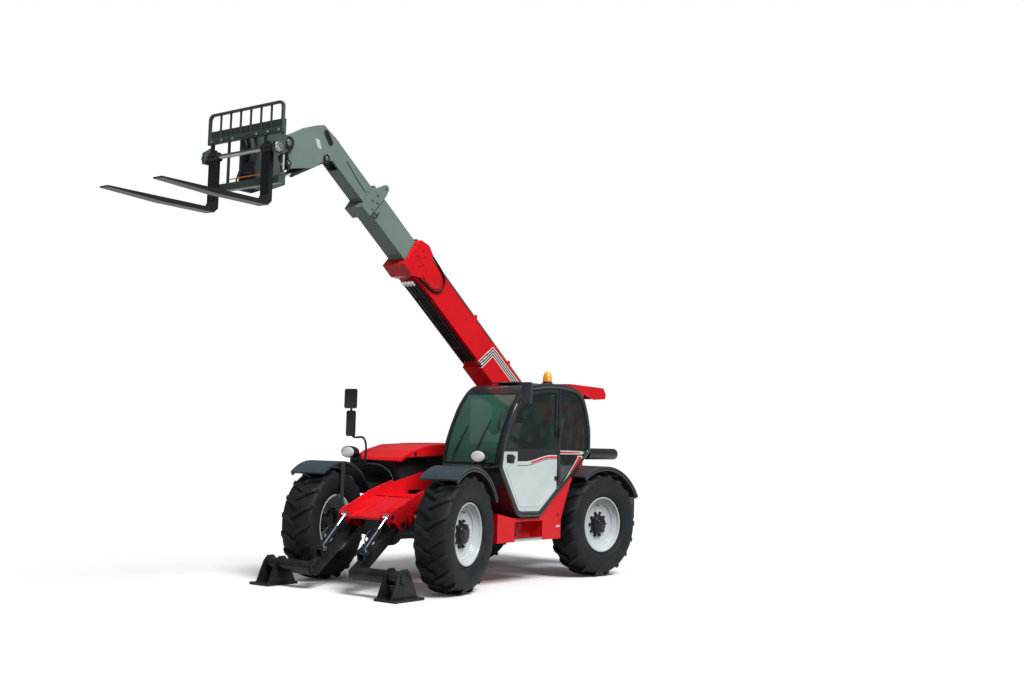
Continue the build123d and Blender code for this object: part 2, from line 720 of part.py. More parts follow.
head_side = [
    boom_point(2820, IN_TOP),
    (3951, 4768),
    (4072, 4732),
    (4234, 4640),
    (4400, 4560),
    (4500, 4530),
    (4515, 4450),
    (4430, 4390),
    (4395, 4225),
    (4067, 4299),
    (3967, 4375),
    boom_point(2760, IN_BOT),
]
HEAD_Y = IN_W / 2 + HEAD_SIDE
head_hollow = [
    (3700, 4380),
    (3990, 4560),
    (4180, 4520),
    (4600, 4340),
    (4600, 4100),
    (3980, 4250),
    (3700, 4300),
]
inner = ends["inner"] + plate(head_side, -HEAD_Y, HEAD_Y)
inner -= boom_box(2500, 2790, IN_BOT + WALL, IN_TOP - WALL, IN_W - 2 * WALL)
inner -= plate(head_hollow, -62, 62)
inner -= pin_y(CARRIAGE_PIN, -150, 150, CARRIAGE_PIN_R + FIT)
inner -= pin_y(TILT_FOOT, -150, 150, TILT_CYLINDER[2] + FIT)
nodes["boom_inner"] = inner + heel_pads("inner", "middle", IN_S0, IN_S0 + PAD_L)

# pins of the chassis: boom hinge, foot of the lift cylinder, stabiliser legs and cylinders
chassis_pins = pin_y(PIVOT, -TOWER_IN - TOWER_T - 26, TOWER_IN + TOWER_T + 26, PIVOT_PIN_R)
chassis_pins += pin_y(LIFT_FOOT, -TOWER_IN - TOWER_T - 26, TOWER_IN + TOWER_T + 26, LIFT_PIN_R)
chassis_pins += both(pin_y(LEG_PIVOT, LUG_IN - LUG_PLATE_T - 10, LUG_OUT + NOSE_T + 10, LEG_PIN_R))
for y0, y1 in ((LUG_IN - LUG_PLATE_T - 8, LUG_IN + 6), (LUG_OUT - 6, LUG_OUT + NOSE_T + 8)):
    chassis_pins += both(pin_y(STAB_EYE, y0, y1, STAB_CYLINDER[2]))
nodes["chassis_pins"] = chassis_pins
head_pins = pin_y(CARRIAGE_PIN, -137, 137, CARRIAGE_PIN_R)
nodes["head_pins"] = head_pins + pin_y(TILT_FOOT, -98, 98, TILT_CYLINDER[2])

# ================================================================ carriage, backrest and forks
CHEEK_Y = HEAD_Y + 6
cheek_side = [
    (4400, 4520),
    (4520, 4545),
    (4700, 4560),
    (FRAME_X + 1, 4560),
    (FRAME_X + 1, 3940),
    (4700, 3940),
    (4480, 4040),
    (4480, 4140),
    (4600, 4300),
    (4390, 4420),
]
carriage = both(plate(cheek_side, CHEEK_Y, CHEEK_Y + CHEEK_T))
carriage -= pin_y(CARRIAGE_PIN, -150, 150, CARRIAGE_PIN_R + FIT)
carriage -= pin_y(TILT_EYE, -150, 150, TILT_CYLINDER[2] + FIT)
FRAME_FRONT = FRAME_X + FRAME_T
fork_back = FORK_HEEL_X - FORK_T / 2
carriage += block(FRAME_X, FRAME_FRONT, -FRAME_HALF_W, FRAME_HALF_W, 4480, 4560)
carriage += block(FRAME_X, fork_back - FIT, -FRAME_HALF_W, FRAME_HALF_W, 3940, 4010)
lug_side = [(FRAME_FRONT - 1, 4220), (4990, 4220), (4990, 4330), (FRAME_FRONT - 1, 4400)]
carriage += both(block(FRAME_X, FRAME_FRONT, FRAME_HALF_W - POST_W, FRAME_HALF_W, 3940, 4560))
carriage += both(plate(lug_side, FRAME_HALF_W - POST_W, FRAME_HALF_W))
carriage += both(block(FRAME_X + 4, FRAME_FRONT - 4, 250, 270, 4009, 4481))
carriage -= pin_y(SHAFT_AT, -600, 600, SHAFT_R + FIT)
nodes["carriage"] = carriage
carriage_pins = pin_y(SHAFT_AT, -FRAME_HALF_W - 22, FRAME_HALF_W + 22, SHAFT_R)
carriage_pins += both(pin_y(TILT_EYE, CHEEK_Y - 6, CHEEK_Y + CHEEK_T + 12, TILT_CYLINDER[2]))
nodes["carriage_pins"] = carriage_pins

rest_x = FRAME_FRONT + FIT
rest_z0, rest_z1 = BACKREST_Z
REST_Y = FRAME_HALF_W + 15
rest = block(rest_x, rest_x + BACKREST_T, -REST_Y, REST_Y, rest_z0, rest_z0 + 60)
rest += block(rest_x, rest_x + BACKREST_T, -REST_Y, REST_Y, rest_z1 - 30, rest_z1)
rest += both(block(rest_x, rest_x + BACKREST_T, REST_Y - 30, REST_Y, rest_z0, rest_z1))
bar_step = 2 * (REST_Y - 30) / (BACKREST_BARS + 1)
for k in range(BACKREST_BARS):
    y = -REST_Y + 30 + (k + 1) * bar_step
    rest += block(rest_x + 6, rest_x + BACKREST_T - 6, y - 8, y + 8, rest_z0 + 59, rest_z1 - 29)
nodes["backrest"] = rest

front_x = FORK_HEEL_X + FORK_T / 2
tip_x = front_x + FORK_L
fork_side = [
    (fork_back, 4320),
    (front_x, 4320),
    (front_x, FORK_TOP_Z + 60),
    (front_x + 30, FORK_TOP_Z),
    (tip_x, FORK_TOP_Z),
    (tip_x, FORK_TOP_Z - 14),
    (front_x + FORK_L / 2, FORK_TOP_Z - FORK_T),
    (front_x, FORK_TOP_Z - FORK_T),
    (fork_back, FORK_TOP_Z),
]
for name, side in (("left", 1), ("right", -1)):
    y0 = side * FORK_SPACING / 2 - FORK_W / 2
    fork = plate(fork_side, y0, y0 + FORK_W) + pin_y(SHAFT_AT, y0, y0 + FORK_W, SHAFT_R + 20)
    nodes[f"fork_{name}"] = fork - pin_y(SHAFT_AT, y0 - 5, y0 + FORK_W + 5, SHAFT_R + FIT)

# ================================================================ cylinders


def cylinder_pair(foot, eye, y, sizes):
    """Barrel and rod of a cylinder in the plane at y, from its foot pin to its eye."""
    bore_r, rod_r, pin_r, foot_w, eye_w, end, inward, piston_l = sizes
    length = math.hypot(eye[0] - foot[0], eye[1] - foot[1])
    ux, uz = (eye[0] - foot[0]) / length, (eye[1] - foot[1]) / length

    def at(d):
        return (foot[0] + ux * d, y, foot[1] + uz * d)

    foot_r = pin_r + max(14, bore_r * 0.3)
    eye_r = pin_r + max(14, rod_r * 0.5)
    neck = pin_r + bore_r * 0.75
    floor = neck + 4
    barrel = rod(at(0), at(neck + 2), min(bore_r, 0.45 * foot_w)) + rod(at(neck), at(end), bore_r)
    barrel -= rod(at(floor), at(end - GLAND_L), bore_r * 0.8)
    barrel -= rod(at(end - GLAND_L - 1), at(end + 1), rod_r + FIT)
    barrel += pin_y(foot, y - foot_w / 2, y + foot_w / 2, foot_r)
    barrel -= pin_y(foot, y - 2 * bore_r, y + 2 * bore_r, pin_r + FIT)
    piston = floor + inward
    bar = rod(at(piston), at(length), rod_r)
    if piston_l:
        bar += rod(at(piston), at(piston + piston_l), bore_r * 0.8 - FIT)
    return barrel, bar + pin_y(eye, y - eye_w / 2, y + eye_w / 2, eye_r)


nodes["lift_barrel"], nodes["lift_rod"] = cylinder_pair(LIFT_FOOT, lift_eye, 0, LIFT_CYLINDER)
nodes["tilt_barrel"], nodes["tilt_rod"] = cylinder_pair(TILT_FOOT, TILT_EYE, 0, TILT_CYLINDER)

# ================================================================ stabilisers
leg_len = math.hypot(TUBE_AT[0] - LEG_PIVOT[0], TUBE_AT[1] - LEG_PIVOT[1])
leg_ux = (TUBE_AT[0] - LEG_PIVOT[0]) / leg_len
leg_uz = (TUBE_AT[1] - LEG_PIVOT[1]) / leg_len


def leg_point(along, up):
    return (LEG_PIVOT[0] + along * leg_ux - up * leg_uz, LEG_PIVOT[1] + along * leg_uz + up * leg_ux)


# leg beam with a forked raised end for the cylinder's foot; (along the leg, height over its line)
beam_side = [(0, 42), (-40, 0), (0, -42), (250, -60), (leg_len + 30, -66), (leg_len + 66, 0)]
beam_side += [(leg_len + 30, 60), (300, 40), (240, 20), (60, 20)]
dx, dz = STAB_FOOT[0] - LEG_PIVOT[0], STAB_FOOT[1] - LEG_PIVOT[1]
foot_along = dx * leg_ux + dz * leg_uz
foot_up = dz * leg_ux - dx * leg_uz
ear_side = [(foot_along - 70, 30), (foot_along - 34, foot_up + 30)]
ear_side += [(foot_along + 34, foot_up + 30), (foot_along + 80, 30)]
leg = plate([leg_point(*p) for p in beam_side], STAB_Y - LEG_W / 2, STAB_Y + LEG_W / 2)
leg += rod((TUBE_AT[0], STAB_Y, TUBE_AT[1]), (TUBE_AT[0], TUBE_END_Y, TUBE_AT[1]), TUBE_R)
foot_ear = plate([leg_point(*p) for p in ear_side], STAB_Y + 37, STAB_Y + 51)
foot_ear += plate([leg_point(*p) for p in ear_side], STAB_Y - 51, STAB_Y - 37)
leg += foot_ear
leg -= pin_y(LEG_PIVOT, STAB_Y - 60, STAB_Y + 60, LEG_PIN_R + FIT)
leg -= pin_y(STAB_FOOT, STAB_Y - 60, STAB_Y + 60, STAB_CYLINDER[2] + FIT)
leg += pin_y(STAB_FOOT, STAB_Y - 58, STAB_Y + 58, STAB_CYLINDER[2])
pad_y0, pad_y1 = PAD_Y
pad_x0, pad_x1 = PAD_X
foot = block(pad_x0, pad_x1, pad_y0, pad_y1, 0, PAD_T)
web_side = [
    (pad_x0 + 20, PAD_T - 1),
    (pad_x1 - 20, PAD_T - 1),
    (TUBE_AT[0] + 90, TUBE_AT[1] + 40),
    (TUBE_AT[0] + 40, TUBE_AT[1] + 92),
    (TUBE_AT[0] - 40, TUBE_AT[1] + 92),
    (TUBE_AT[0] - 90, TUBE_AT[1] + 40),
]
foot += plate(web_side, pad_y0 + 14, pad_y0 + 14 + PAD_WEB_T)
foot -= pin_y(TUBE_AT, pad_y0, pad_y1, TUBE_R + FIT)
foot += plate(web_side, TUBE_END_Y + FIT, TUBE_END_Y + FIT + PAD_WEB_T)
for name, turn in (("left", lambda s: s), ("right", mirrored)):
    barrel, bar = cylinder_pair(STAB_FOOT, STAB_EYE, STAB_Y, STAB_CYLINDER)
    nodes[f"stabiliser_leg_{name}"] = turn(leg)
    nodes[f"stabiliser_foot_{name}"] = turn(foot)
    nodes[f"stabiliser_barrel_{name}"] = turn(barrel)
    nodes[f"stabiliser_rod_{name}"] = turn(bar)

# ================================================================ lamps, mirrors, beacon, canister
LAMP_R = 62
BRACKET_Z = 1298  # top of the hood's front bracket
bracket_x = (2236, 2262)


def lamp(x, y, z):
    """A round headlamp that looks forward."""
    return rod((x - 60, y, z), (x + 50, y, z), LAMP_R)


lamps = lamp(2290, -984, 1417) + block(*bracket_x, -1000, -850, BRACKET_Z + FIT, 1400)
left_lamp = lamp(2120, 820, 1420) + block(1980, 2080, 800, 840, 1300, 1330)
left_lamp += block(2060, 2090, 800, 840, 1320, 1400)
nodes["headlamps"] = lamps + (left_lamp - Pos(FIT, 0, 0) * cab_solid)
mirror_x = (bracket_x[0] + bracket_x[1]) / 2
stalk = [(mirror_x, -800, BRACKET_Z + FIT), (mirror_x, -800, 1720), (mirror_x, -1064, 1960)]
mirrors = bent_tube(stalk, 120, 12) + block(*bracket_x, -1150, -990, 1890, 2160)
left_mirror = rod((1680, 930, 2010), (1680, 1100, 2090), 12) + block(1665, 1695, 1040, 1160, 2010, 2245)
nodes["mirrors"] = mirrors + (left_mirror - Pos(0, 0, FIT) * cab_solid)
beacon = Pos(430, 500, 2240) * Cylinder(22, 110) + Pos(430, 500, 2300) * Cylinder(58, 24)
beacon += Pos(430, 500, 2395) * Cylinder(50, 170)
nodes["beacon"] = beacon - Pos(0, 0, FIT) * cab_solid
canister = rod((-800, 700, 1460), (-150, 700, 1460), 70)
canister += block(-560, -520, TOWER_IN + TOWER_T + FIT, 700, 1440, 1480)
nodes["rear_canister"] = canister

# ================================================================ whole machine
boxes = [shape.bounding_box() for shape in nodes.values()]
x_mid = (min(b.min.X for b in boxes) + max(b.max.X for b in boxes)) / 2
y_mid = (min(b.min.Y for b in boxes) + max(b.max.Y for b in boxes)) / 2
print("machine frame origin", round(x_mid, 3), round(y_mid, 3))
print("extent", [round(min(getattr(b.min, a) for b in boxes), 2) for a in "XYZ"])
print("extent", [round(max(getattr(b.max, a) for b in boxes), 2) for a in "XYZ"])
os.makedirs("parts", exist_ok=True)
for name, shape in nodes.items():
    export_step(Pos(-x_mid, -y_mid, 0) * shape, f"parts/{name}.step")
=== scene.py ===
import json
import math

import bmesh
import bpy
from bpy.props import FloatProperty, FloatVectorProperty, IntProperty, PointerProperty
from mathutils import Matrix, Vector


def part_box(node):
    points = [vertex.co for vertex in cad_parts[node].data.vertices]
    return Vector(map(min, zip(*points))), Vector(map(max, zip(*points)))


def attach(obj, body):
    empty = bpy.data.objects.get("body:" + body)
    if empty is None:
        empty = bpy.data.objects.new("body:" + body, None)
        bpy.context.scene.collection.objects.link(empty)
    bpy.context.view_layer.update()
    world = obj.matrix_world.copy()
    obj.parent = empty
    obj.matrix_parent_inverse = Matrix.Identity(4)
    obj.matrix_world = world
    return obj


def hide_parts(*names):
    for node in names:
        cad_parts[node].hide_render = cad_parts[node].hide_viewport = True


bl_info = {
    "name": "Telehandler dressing",
    "version": (1, 0, 0),
    "blender": (4, 5, 0),
    "location": "View3D > Sidebar > Telehandler",
    "description": "Finishes, trim and stage round the packed telehandler",
    "category": "Object",
}

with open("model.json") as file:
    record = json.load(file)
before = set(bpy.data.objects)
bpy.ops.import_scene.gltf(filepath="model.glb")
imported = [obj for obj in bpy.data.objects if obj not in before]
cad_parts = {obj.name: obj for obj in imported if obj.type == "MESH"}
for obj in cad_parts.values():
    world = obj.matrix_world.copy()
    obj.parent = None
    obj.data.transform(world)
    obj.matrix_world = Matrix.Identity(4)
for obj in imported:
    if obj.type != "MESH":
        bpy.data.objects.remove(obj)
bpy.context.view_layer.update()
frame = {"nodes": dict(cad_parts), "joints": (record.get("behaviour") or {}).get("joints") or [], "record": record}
NODES = frame["nodes"]
JOINTS = {joint["name"]: joint for joint in frame["joints"]}

# ---------------------------------------------------------------- places, in metres
# The machine's own point: under the middle of the rear axle, on the ground.
AXLE_LOW, AXLE_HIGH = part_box("axle_rear")
ORIGIN = Vector(((AXLE_LOW.x + AXLE_HIGH.x) / 2, (AXLE_LOW.y + AXLE_HIGH.y) / 2, 0))
CORNERS = ("front_left", "front_right", "rear_left", "rear_right")
SIDES = (("left", 1), ("right", -1))
AHEAD, LEFT, UP = (1, 0, 0), (0, 1, 0), (0, 0, 1)
SHAFT = (4.945, 4.275)  # the forks' shaft: forward, up
SEAT_MIDDLE = 0.576  # the seat's middle plane, to the left
SMALLEST_PANE = 0.25  # smaller rows of edges get no rubber
FEW_CORNERS = 9  # a plate with fewer corners has all of its edges eased
DUST = (0.21, 0.19, 0.165)
MACHINE = Matrix.Translation(ORIGIN)


def at(x, y, z):
    """A point given from the middle of the rear axle, forward, left and up."""
    return MACHINE @ Vector((x, y, z))


def axes(origin, *directions):
    """A matrix with these three directions as its axes."""
    turn = Matrix([Vector(d).normalized() for d in directions]).transposed()
    return Matrix.Translation(origin) @ turn.to_4x4()


def side_view(x, y, z):
    """Axes at a point for outlines in the side view: u forward, v up, w to the left."""
    return axes(at(x, y, z), AHEAD, UP, LEFT)


def front_view(x, y, z):
    """Axes at a point for outlines seen from ahead: u to the left, v up, w forward."""
    return axes(at(x, y, z), LEFT, UP, AHEAD)


SIDE_VIEW = side_view(0, 0, 0)
# The boom's own axes: along it, to the machine's left, and up from its top plate.
BOOM_FOOT = at(1.5, 0, 2.9)
ALONG = Vector(JOINTS["boom_extend"]["axis"])
BOOM_UP = (-ALONG.z, 0, ALONG.x)
BOOM = axes(BOOM_FOOT, ALONG, LEFT, BOOM_UP)
BOOM_VIEW = axes(BOOM_FOOT, ALONG, BOOM_UP, LEFT)


# ================================================================ sizes and colours
def length(name, default, description):
    return FloatProperty(name=name, description=description, default=default, min=0, unit="LENGTH")


def colour(name, default, description):
    return FloatVectorProperty(
        name=name, description=description, default=default, size=3, subtype="COLOR", min=0, max=1
    )


class PaintSettings(bpy.types.PropertyGroup):
    """Colours of the paints and plastics."""

    red: colour("Red", (0.72, 0.009, 0.016), "Paint of the chassis, nose, hood and outer boom")
    pale: colour("Grey-green", (0.19, 0.25, 0.225), "Paint of the sliding boom sections and carriage")
    silver: colour("Silver", (0.60, 0.66, 0.66), "Paint of the door's lower panel")
    rim: colour("Rim", (0.70, 0.76, 0.78), "Paint of the rims")
    plastic: colour("Plastic", (0.028, 0.038, 0.047), "Moulded fenders and covers")
    frame: colour("Cab frame", (0.045, 0.053, 0.06), "Paint of the cab's frame")
    black: colour("Black", (0.012, 0.014, 0.017), "Paint of the stabilisers")
    rubber: colour("Rubber", (0.013, 0.016, 0.018), "Tyres and hoses")


class TyreSettings(bpy.types.PropertyGroup):
    """Shape of the tread."""

    lugs: IntProperty(name="Lugs", description="Lugs on each half of the tread", default=18, min=8)
    width: length("Lug width", 0.062, "Width of a lug at its foot")
    sweep: length("Lug sweep", 0.125, "How far a lug trails from the middle to the shoulder")


class TrimSettings(bpy.types.PropertyGroup):
    """Sizes of pipes, hoses and seals."""

    pipe: length("Pipe radius", 0.017, "Steel pipe on the boom")
    hose: length("Hose radius", 0.011, "Hydraulic hoses")
    seal: length("Seal", 0.014, "Width of the rubber round the windows")


class StageSettings(bpy.types.PropertyGroup):
    """Camera and light."""

    lens: FloatProperty(name="Lens", description="Focal length", default=42.5, unit="CAMERA")
    sun: FloatProperty(name="Sun", description="Strength of the key light", default=3.6, min=0)
    sky: FloatProperty(name="Sky", description="Strength of the fill light", default=0.36, min=0)


# ================================================================ finishes
class Value:
    """A socket of a node tree. Arithmetic on it adds Math nodes."""

    def __init__(self, tree, socket):
        self.tree = tree
        self.socket = socket

    def math(self, operation, *values):
        return self.tree.node("ShaderNodeMath", {"operation": operation}, dict(enumerate(values)))

    def __add__(self, other):
        return self.math("ADD", self, other)

    __radd__ = __add__

    def __sub__(self, other):
        return self.math("SUBTRACT", self, other)

    def __rsub__(self, other):
        return self.math("SUBTRACT", other, self)

    def __mul__(self, other):
        return self.math("MULTIPLY", self, other)

    __rmul__ = __mul__

    def __truediv__(self, other):
        return self.math("DIVIDE", self, other)

    def __gt__(self, other):
        return self.math("GREATER_THAN", self, other)

    def __lt__(self, other):
        return self.math("LESS_THAN", self, other)

    def least(self, other):
        return self.math("MINIMUM", self, other)

    def most(self, other):
        return self.math("MAXIMUM", self, other)

    def part(self):
        return self.math("FRACT", self)

    def size(self):
        return self.math("ABSOLUTE", self)

    def ramp(self, low, high):
        """0 below low, 1 above high, smooth between."""
        inputs = {"Value": self, "From Min": low, "From Max": high}
        return self.tree.node("ShaderNodeMapRange", {"interpolation_type": "SMOOTHSTEP"}, inputs)

    def within(self, low, high):
        return (self > low) * (self < high)

    def sibling(self, output):
        """Another output of the same node."""
        return Value(self.tree, self.socket.node.outputs[output])


class Tree:
    """A node tree that is built one value at a time."""

    def __init__(self, owner):
        owner.use_nodes = True
        self.tree = owner.node_tree

    def feed(self, socket, value):
        if isinstance(value, Value):
            self.tree.links.new(value.socket, socket)
        elif socket.type == "RGBA" and len(value) == 3:
            socket.default_value = (*value, 1)
        else:
            socket.default_value = value

    def node(self, kind, settings=None, inputs=None, output=0):
        made = self.tree.nodes.new(kind)
        for key, value in (settings or {}).items():
            setattr(made, key, value)
        for key, value in (inputs or {}).items():
            self.feed(made.inputs[key], value)
        return Value(self, made.outputs[output]) if made.outputs else None


class StageTree(Tree):
    """The nodes of the floor or the sky, from nothing to their output."""

    def __init__(self, owner):
        super().__init__(owner)
        self.tree.nodes.clear()

    def mix(self, factor, low, high):
        return self.node("ShaderNodeMixShader", inputs={0: factor, 1: low, 2: high})

    def background(self, colour, strength):
        return self.node("ShaderNodeBackground", inputs={"Color": colour, "Strength": strength})


class Finish(Tree):
    """One procedural material, and the nodes that vary it."""

    def __init__(self, name, sockets):
        self.material = bpy.data.materials.new(name)
        super().__init__(self.material)
        self.shader = self.tree.nodes["Principled BSDF"]
        for socket, value in sockets.items():
            self.vary(socket, value)

    def vary(self, socket, value):
        self.feed(self.shader.inputs[socket], value)

    def colour(self):
        """The value that gives the base colour so far."""
        return Value(self, self.shader.inputs["Base Color"].links[0].from_socket)

    def place(self):
        return self.node("ShaderNodeTexCoord", output="Object")

    def axis_values(self, matrix=MACHINE):
        """The three coordinates of a point on the surface, along the axes of a matrix."""
        where = self.place()
        values = []
        for row in matrix.inverted()[:3]:
            dot = {0: where, 1: tuple(row[:3])}
            along = self.node("ShaderNodeVectorMath", {"operation": "DOT_PRODUCT"}, dot, "Value")
            values.append(along + row[3])
        return values

    def noise(self, scale, detail=3.0, rough=0.55):
        inputs = {"Vector": self.place(), "Scale": scale, "Detail": detail, "Roughness": rough}
        return self.node("ShaderNodeTexNoise", inputs=inputs)

    def mix(self, mask, low, high):
        """A colour: low where mask is 0, high where it is 1."""
        return self.node("ShaderNodeMix", {"data_type": "RGBA"}, {0: mask, 6: low, 7: high}, 2)

    def cloudy(self, cloud, tone, dark, pale, high=0.7):
        """A tone that drifts between a darker and a paler one."""
        return self.mix(cloud.ramp(0.3, high), shade(tone, dark), shade(tone, pale))

    def rounded(self, radius):
        return self.node("ShaderNodeBevel", {"samples": 4}, {"Radius": radius}, "Normal")

    def edges(self, radius):
        """About 1 on outer edges and 0 on flat faces."""
        true = self.node("ShaderNodeNewGeometry", output="Normal")
        pair = {0: self.rounded(radius), 1: true}
        same = self.node("ShaderNodeVectorMath", {"operation": "DOT_PRODUCT"}, pair, "Value")
        return (1 - same).ramp(0.02, 0.25)

    def bump(self, height, distance, strength=1.0, normal=None):
        inputs = {"Height": height, "Distance": distance, "Strength": strength}
        if normal:
            inputs["Normal"] = normal
        self.vary("Normal", self.node("ShaderNodeBump", inputs=inputs))


def shade(tone, by):
    return tuple(min(1, c * by) for c in tone)


def painted(name, tone, roughness=0.32, coat=0.5, worn=None, eased=0.003):
    """Sprayed paint: faint unevenness, orange peel, dust low down and, where given, worn edges."""
    sockets = {"Coat Weight": coat * 0.4, "Coat Roughness": 0.08, "Specular IOR Level": 0.12}
    finish = Finish(name, sockets)
    body = finish.cloudy(finish.noise(2.3, 4), tone, 0.93, 1.05)
    height = finish.axis_values()[2]
    dust = (1 - height.ramp(0.1, 1.1)) * finish.noise(7, 5).ramp(0.42, 0.75) * 0.09
    body = finish.mix(dust, body, DUST)
    if worn:
        rub = finish.edges(0.004) * finish.noise(38, 4).ramp(0.52, 0.66) * 0.7
        body = finish.mix(rub, body, worn)
    finish.vary("Base Color", body)
    finish.vary("Roughness", finish.noise(16, 3) * 0.14 + (roughness - 0.07) + dust * 0.6)
    finish.bump(finish.noise(420, 2), 0.0004, 0.18, finish.rounded(eased))
    return finish


def outer_boom_paint(tone, dark):
    """Red paint with four bent pin stripes near the foot of the boom's left side, each with a dark band beside it
    as painted shadow.
    """
    period, pale_share, shadow_share = 0.029, 0.42, 0.97
    before, end = 0.004, 0.0955
    finish = painted("paint_outer_boom", tone, 0.32, 0.25)
    along, left, up = finish.axis_values(BOOM)
    depth = 0.105 - up
    back = (depth * 0.34 - 0.464) - along
    nested = depth.least(back * 0.94)
    repeat = ((nested + before) / period).part()
    zone = nested.within(-before, end) * (left > 0.1)
    striped = finish.mix(zone * (repeat < pale_share), finish.colour(), (0.78, 0.78, 0.76))
    # painted shadow: a dark band beside each pale stripe
    shadowed = finish.mix(zone * repeat.within(pale_share, shadow_share), striped, dark)
    finish.vary("Base Color", shadowed)
    return finish


def door_paint(silver, frame_tone, red):
    """Silver lower panel with a rising red and white swoosh under a dark belt, dark frame above."""
    finish = painted("paint_door", silver, 0.36, 0.35)
    along, left, up = finish.axis_values()
    crest = (1.62 - along).ramp(0.1, 0.62) * 0.075 + 1.37
    under = crest - up
    front = (along < 1.66) * (left > 0.9)
    look = finish.colour()
    for zone, tone in (
        (front * (under < 0.0), (0.02, 0.022, 0.026)),
        (front * under.within(0.0, 0.012), (0.75, 0.78, 0.78)),
        (front * under.within(0.012, 0.034) * (along < 1.4), red),
        (front * under.within(0.040, 0.048), (0.03, 0.03, 0.035)),
        (up > 1.478, frame_tone),
        (left > 0.978, (0.014, 0.016, 0.019)),
    ):
        look = finish.mix(zone, look, tone)
    finish.vary("Base Color", look)
    return finish


def rubber_finish(name, tone):
    """Rubber with a brown bloom."""
    finish = Finish(name, {"Specular IOR Level": 0.2})
    cloud = finish.noise(9, 5)
    grime = finish.noise(55, 4).ramp(0.5, 0.75) * 0.22
    body = finish.cloudy(cloud, tone, 0.8, 1.35, 0.75)
    finish.vary("Base Color", finish.mix(grime, body, (0.05, 0.048, 0.044)))
    finish.vary("Roughness", finish.noise(24, 3) * 0.2 + 0.5)
    finish.bump(finish.noise(260, 3), 0.0006, 0.35)
    return finish


def plastic(name, tone, roughness=0.42, grain=900, eased=0.004):
    """Moulded plastic with a fine grain."""
    finish = Finish(name, {"Specular IOR Level": 0.35})
    finish.vary("Base Color", finish.cloudy(finish.noise(5, 4), tone, 0.9, 1.15))
    finish.vary("Roughness", finish.noise(30, 3) * 0.16 + (roughness - 0.08))
    finish.bump(finish.noise(grain, 2), 0.0003, 0.4, finish.rounded(eased))
    return finish


def bare_metal(name, tone, roughness=0.25):
    """Turned, ground or plated steel."""
    finish = Finish(name, {"Metallic": 1.0})
    finish.vary("Base Color", finish.cloudy(finish.noise(14, 4), tone, 0.85, 1))
    finish.vary("Roughness", finish.noise(60, 4) * 0.2 + (roughness - 0.1))
    finish.bump(finish.noise(500, 2), 0.0002, 0.15, finish.rounded(0.002))
    return finish


def cast_iron(name, tone):
    """Sand-cast iron under dark paint."""
    finish = Finish(name, {"Specular IOR Level": 0.4})
    rough = finish.noise(120, 5, 0.65)
    body = finish.mix(finish.noise(6, 5).ramp(0.35, 0.7), shade(tone, 0.75), shade(tone, 1.3))
    finish.vary("Base Color", body)
    finish.vary("Roughness", rough * 0.2 + 0.42)
    finish.bump(rough, 0.0012, 0.4, finish.rounded(0.006))
    return finish


def tinted_glass(name, tone, film_and_reflection_tone, clear):
    """Tinted panes with a faint film; the windscreen is greener and paler as painted reflection of the bright sky.
    """
    finish = Finish(name, {"Specular IOR Level": 0.6, "IOR": 1.5, "Coat Weight": 0.3})
    film = finish.noise(6, 4).ramp(0.35, 0.8)
    ahead, left, _ = finish.axis_values()
    # painted reflection: the windscreen takes the paler, greener tone, which also colours the film
    windscreen = (ahead > 1.5) * (left < 0.955)
    look = finish.mix(windscreen, tone, film_and_reflection_tone)
    finish.vary("Base Color", finish.mix(film * 0.3, look, film_and_reflection_tone))
    finish.vary("Roughness", film * 0.03 + 0.02)
    finish.vary("Alpha", film * 0.04 + (1 - clear))
    return finish


def lamp_glass(name, tone, clear=0.25, glow=0.0):
    """Ribbed lamp glass with a slight glow."""
    sockets = {"Specular IOR Level": 0.7, "Coat Weight": 0.6, "Emission Strength": glow}
    finish = Finish(name, sockets)
    ribs_per_metre = 90
    ribs = (finish.axis_values()[2] * ribs_per_metre).part().ramp(0.3, 0.7)
    finish.vary("Base Color", finish.mix(ribs, shade(tone, 0.8), tone))
    finish.vary("Emission Color", finish.mix(ribs, shade(tone, 0.7), tone))
    finish.vary("Roughness", ribs * 0.06 + 0.06)
    finish.vary("Alpha", ribs * 0.05 + (1 - clear))
    finish.bump(ribs, 0.001, 0.4)
    return finish


def upholstery(name, tone, side_tone):
    """Woven seat cloth with darker bolsters."""
    finish = Finish(name, {"Sheen Weight": 0.25, "Specular IOR Level": 0.2})
    _, left, _ = finish.axis_values()
    middle = 1 - (left - SEAT_MIDDLE).size().ramp(0.12, 0.15)
    threads = {"Scale": 260, "Distortion": 1.5}
    weave = finish.node("ShaderNodeTexWave", {"bands_direction": "DIAGONAL"}, threads, 1)
    cloth = finish.mix(weave, shade(tone, 0.7), shade(tone, 1.2))
    finish.vary("Base Color", finish.mix(middle, side_tone, cloth))
    finish.vary("Roughness", finish.noise(40, 3) * 0.15 + 0.75)
    finish.bump(weave, 0.0008, 0.5)
    return finish


FINISHES = {}


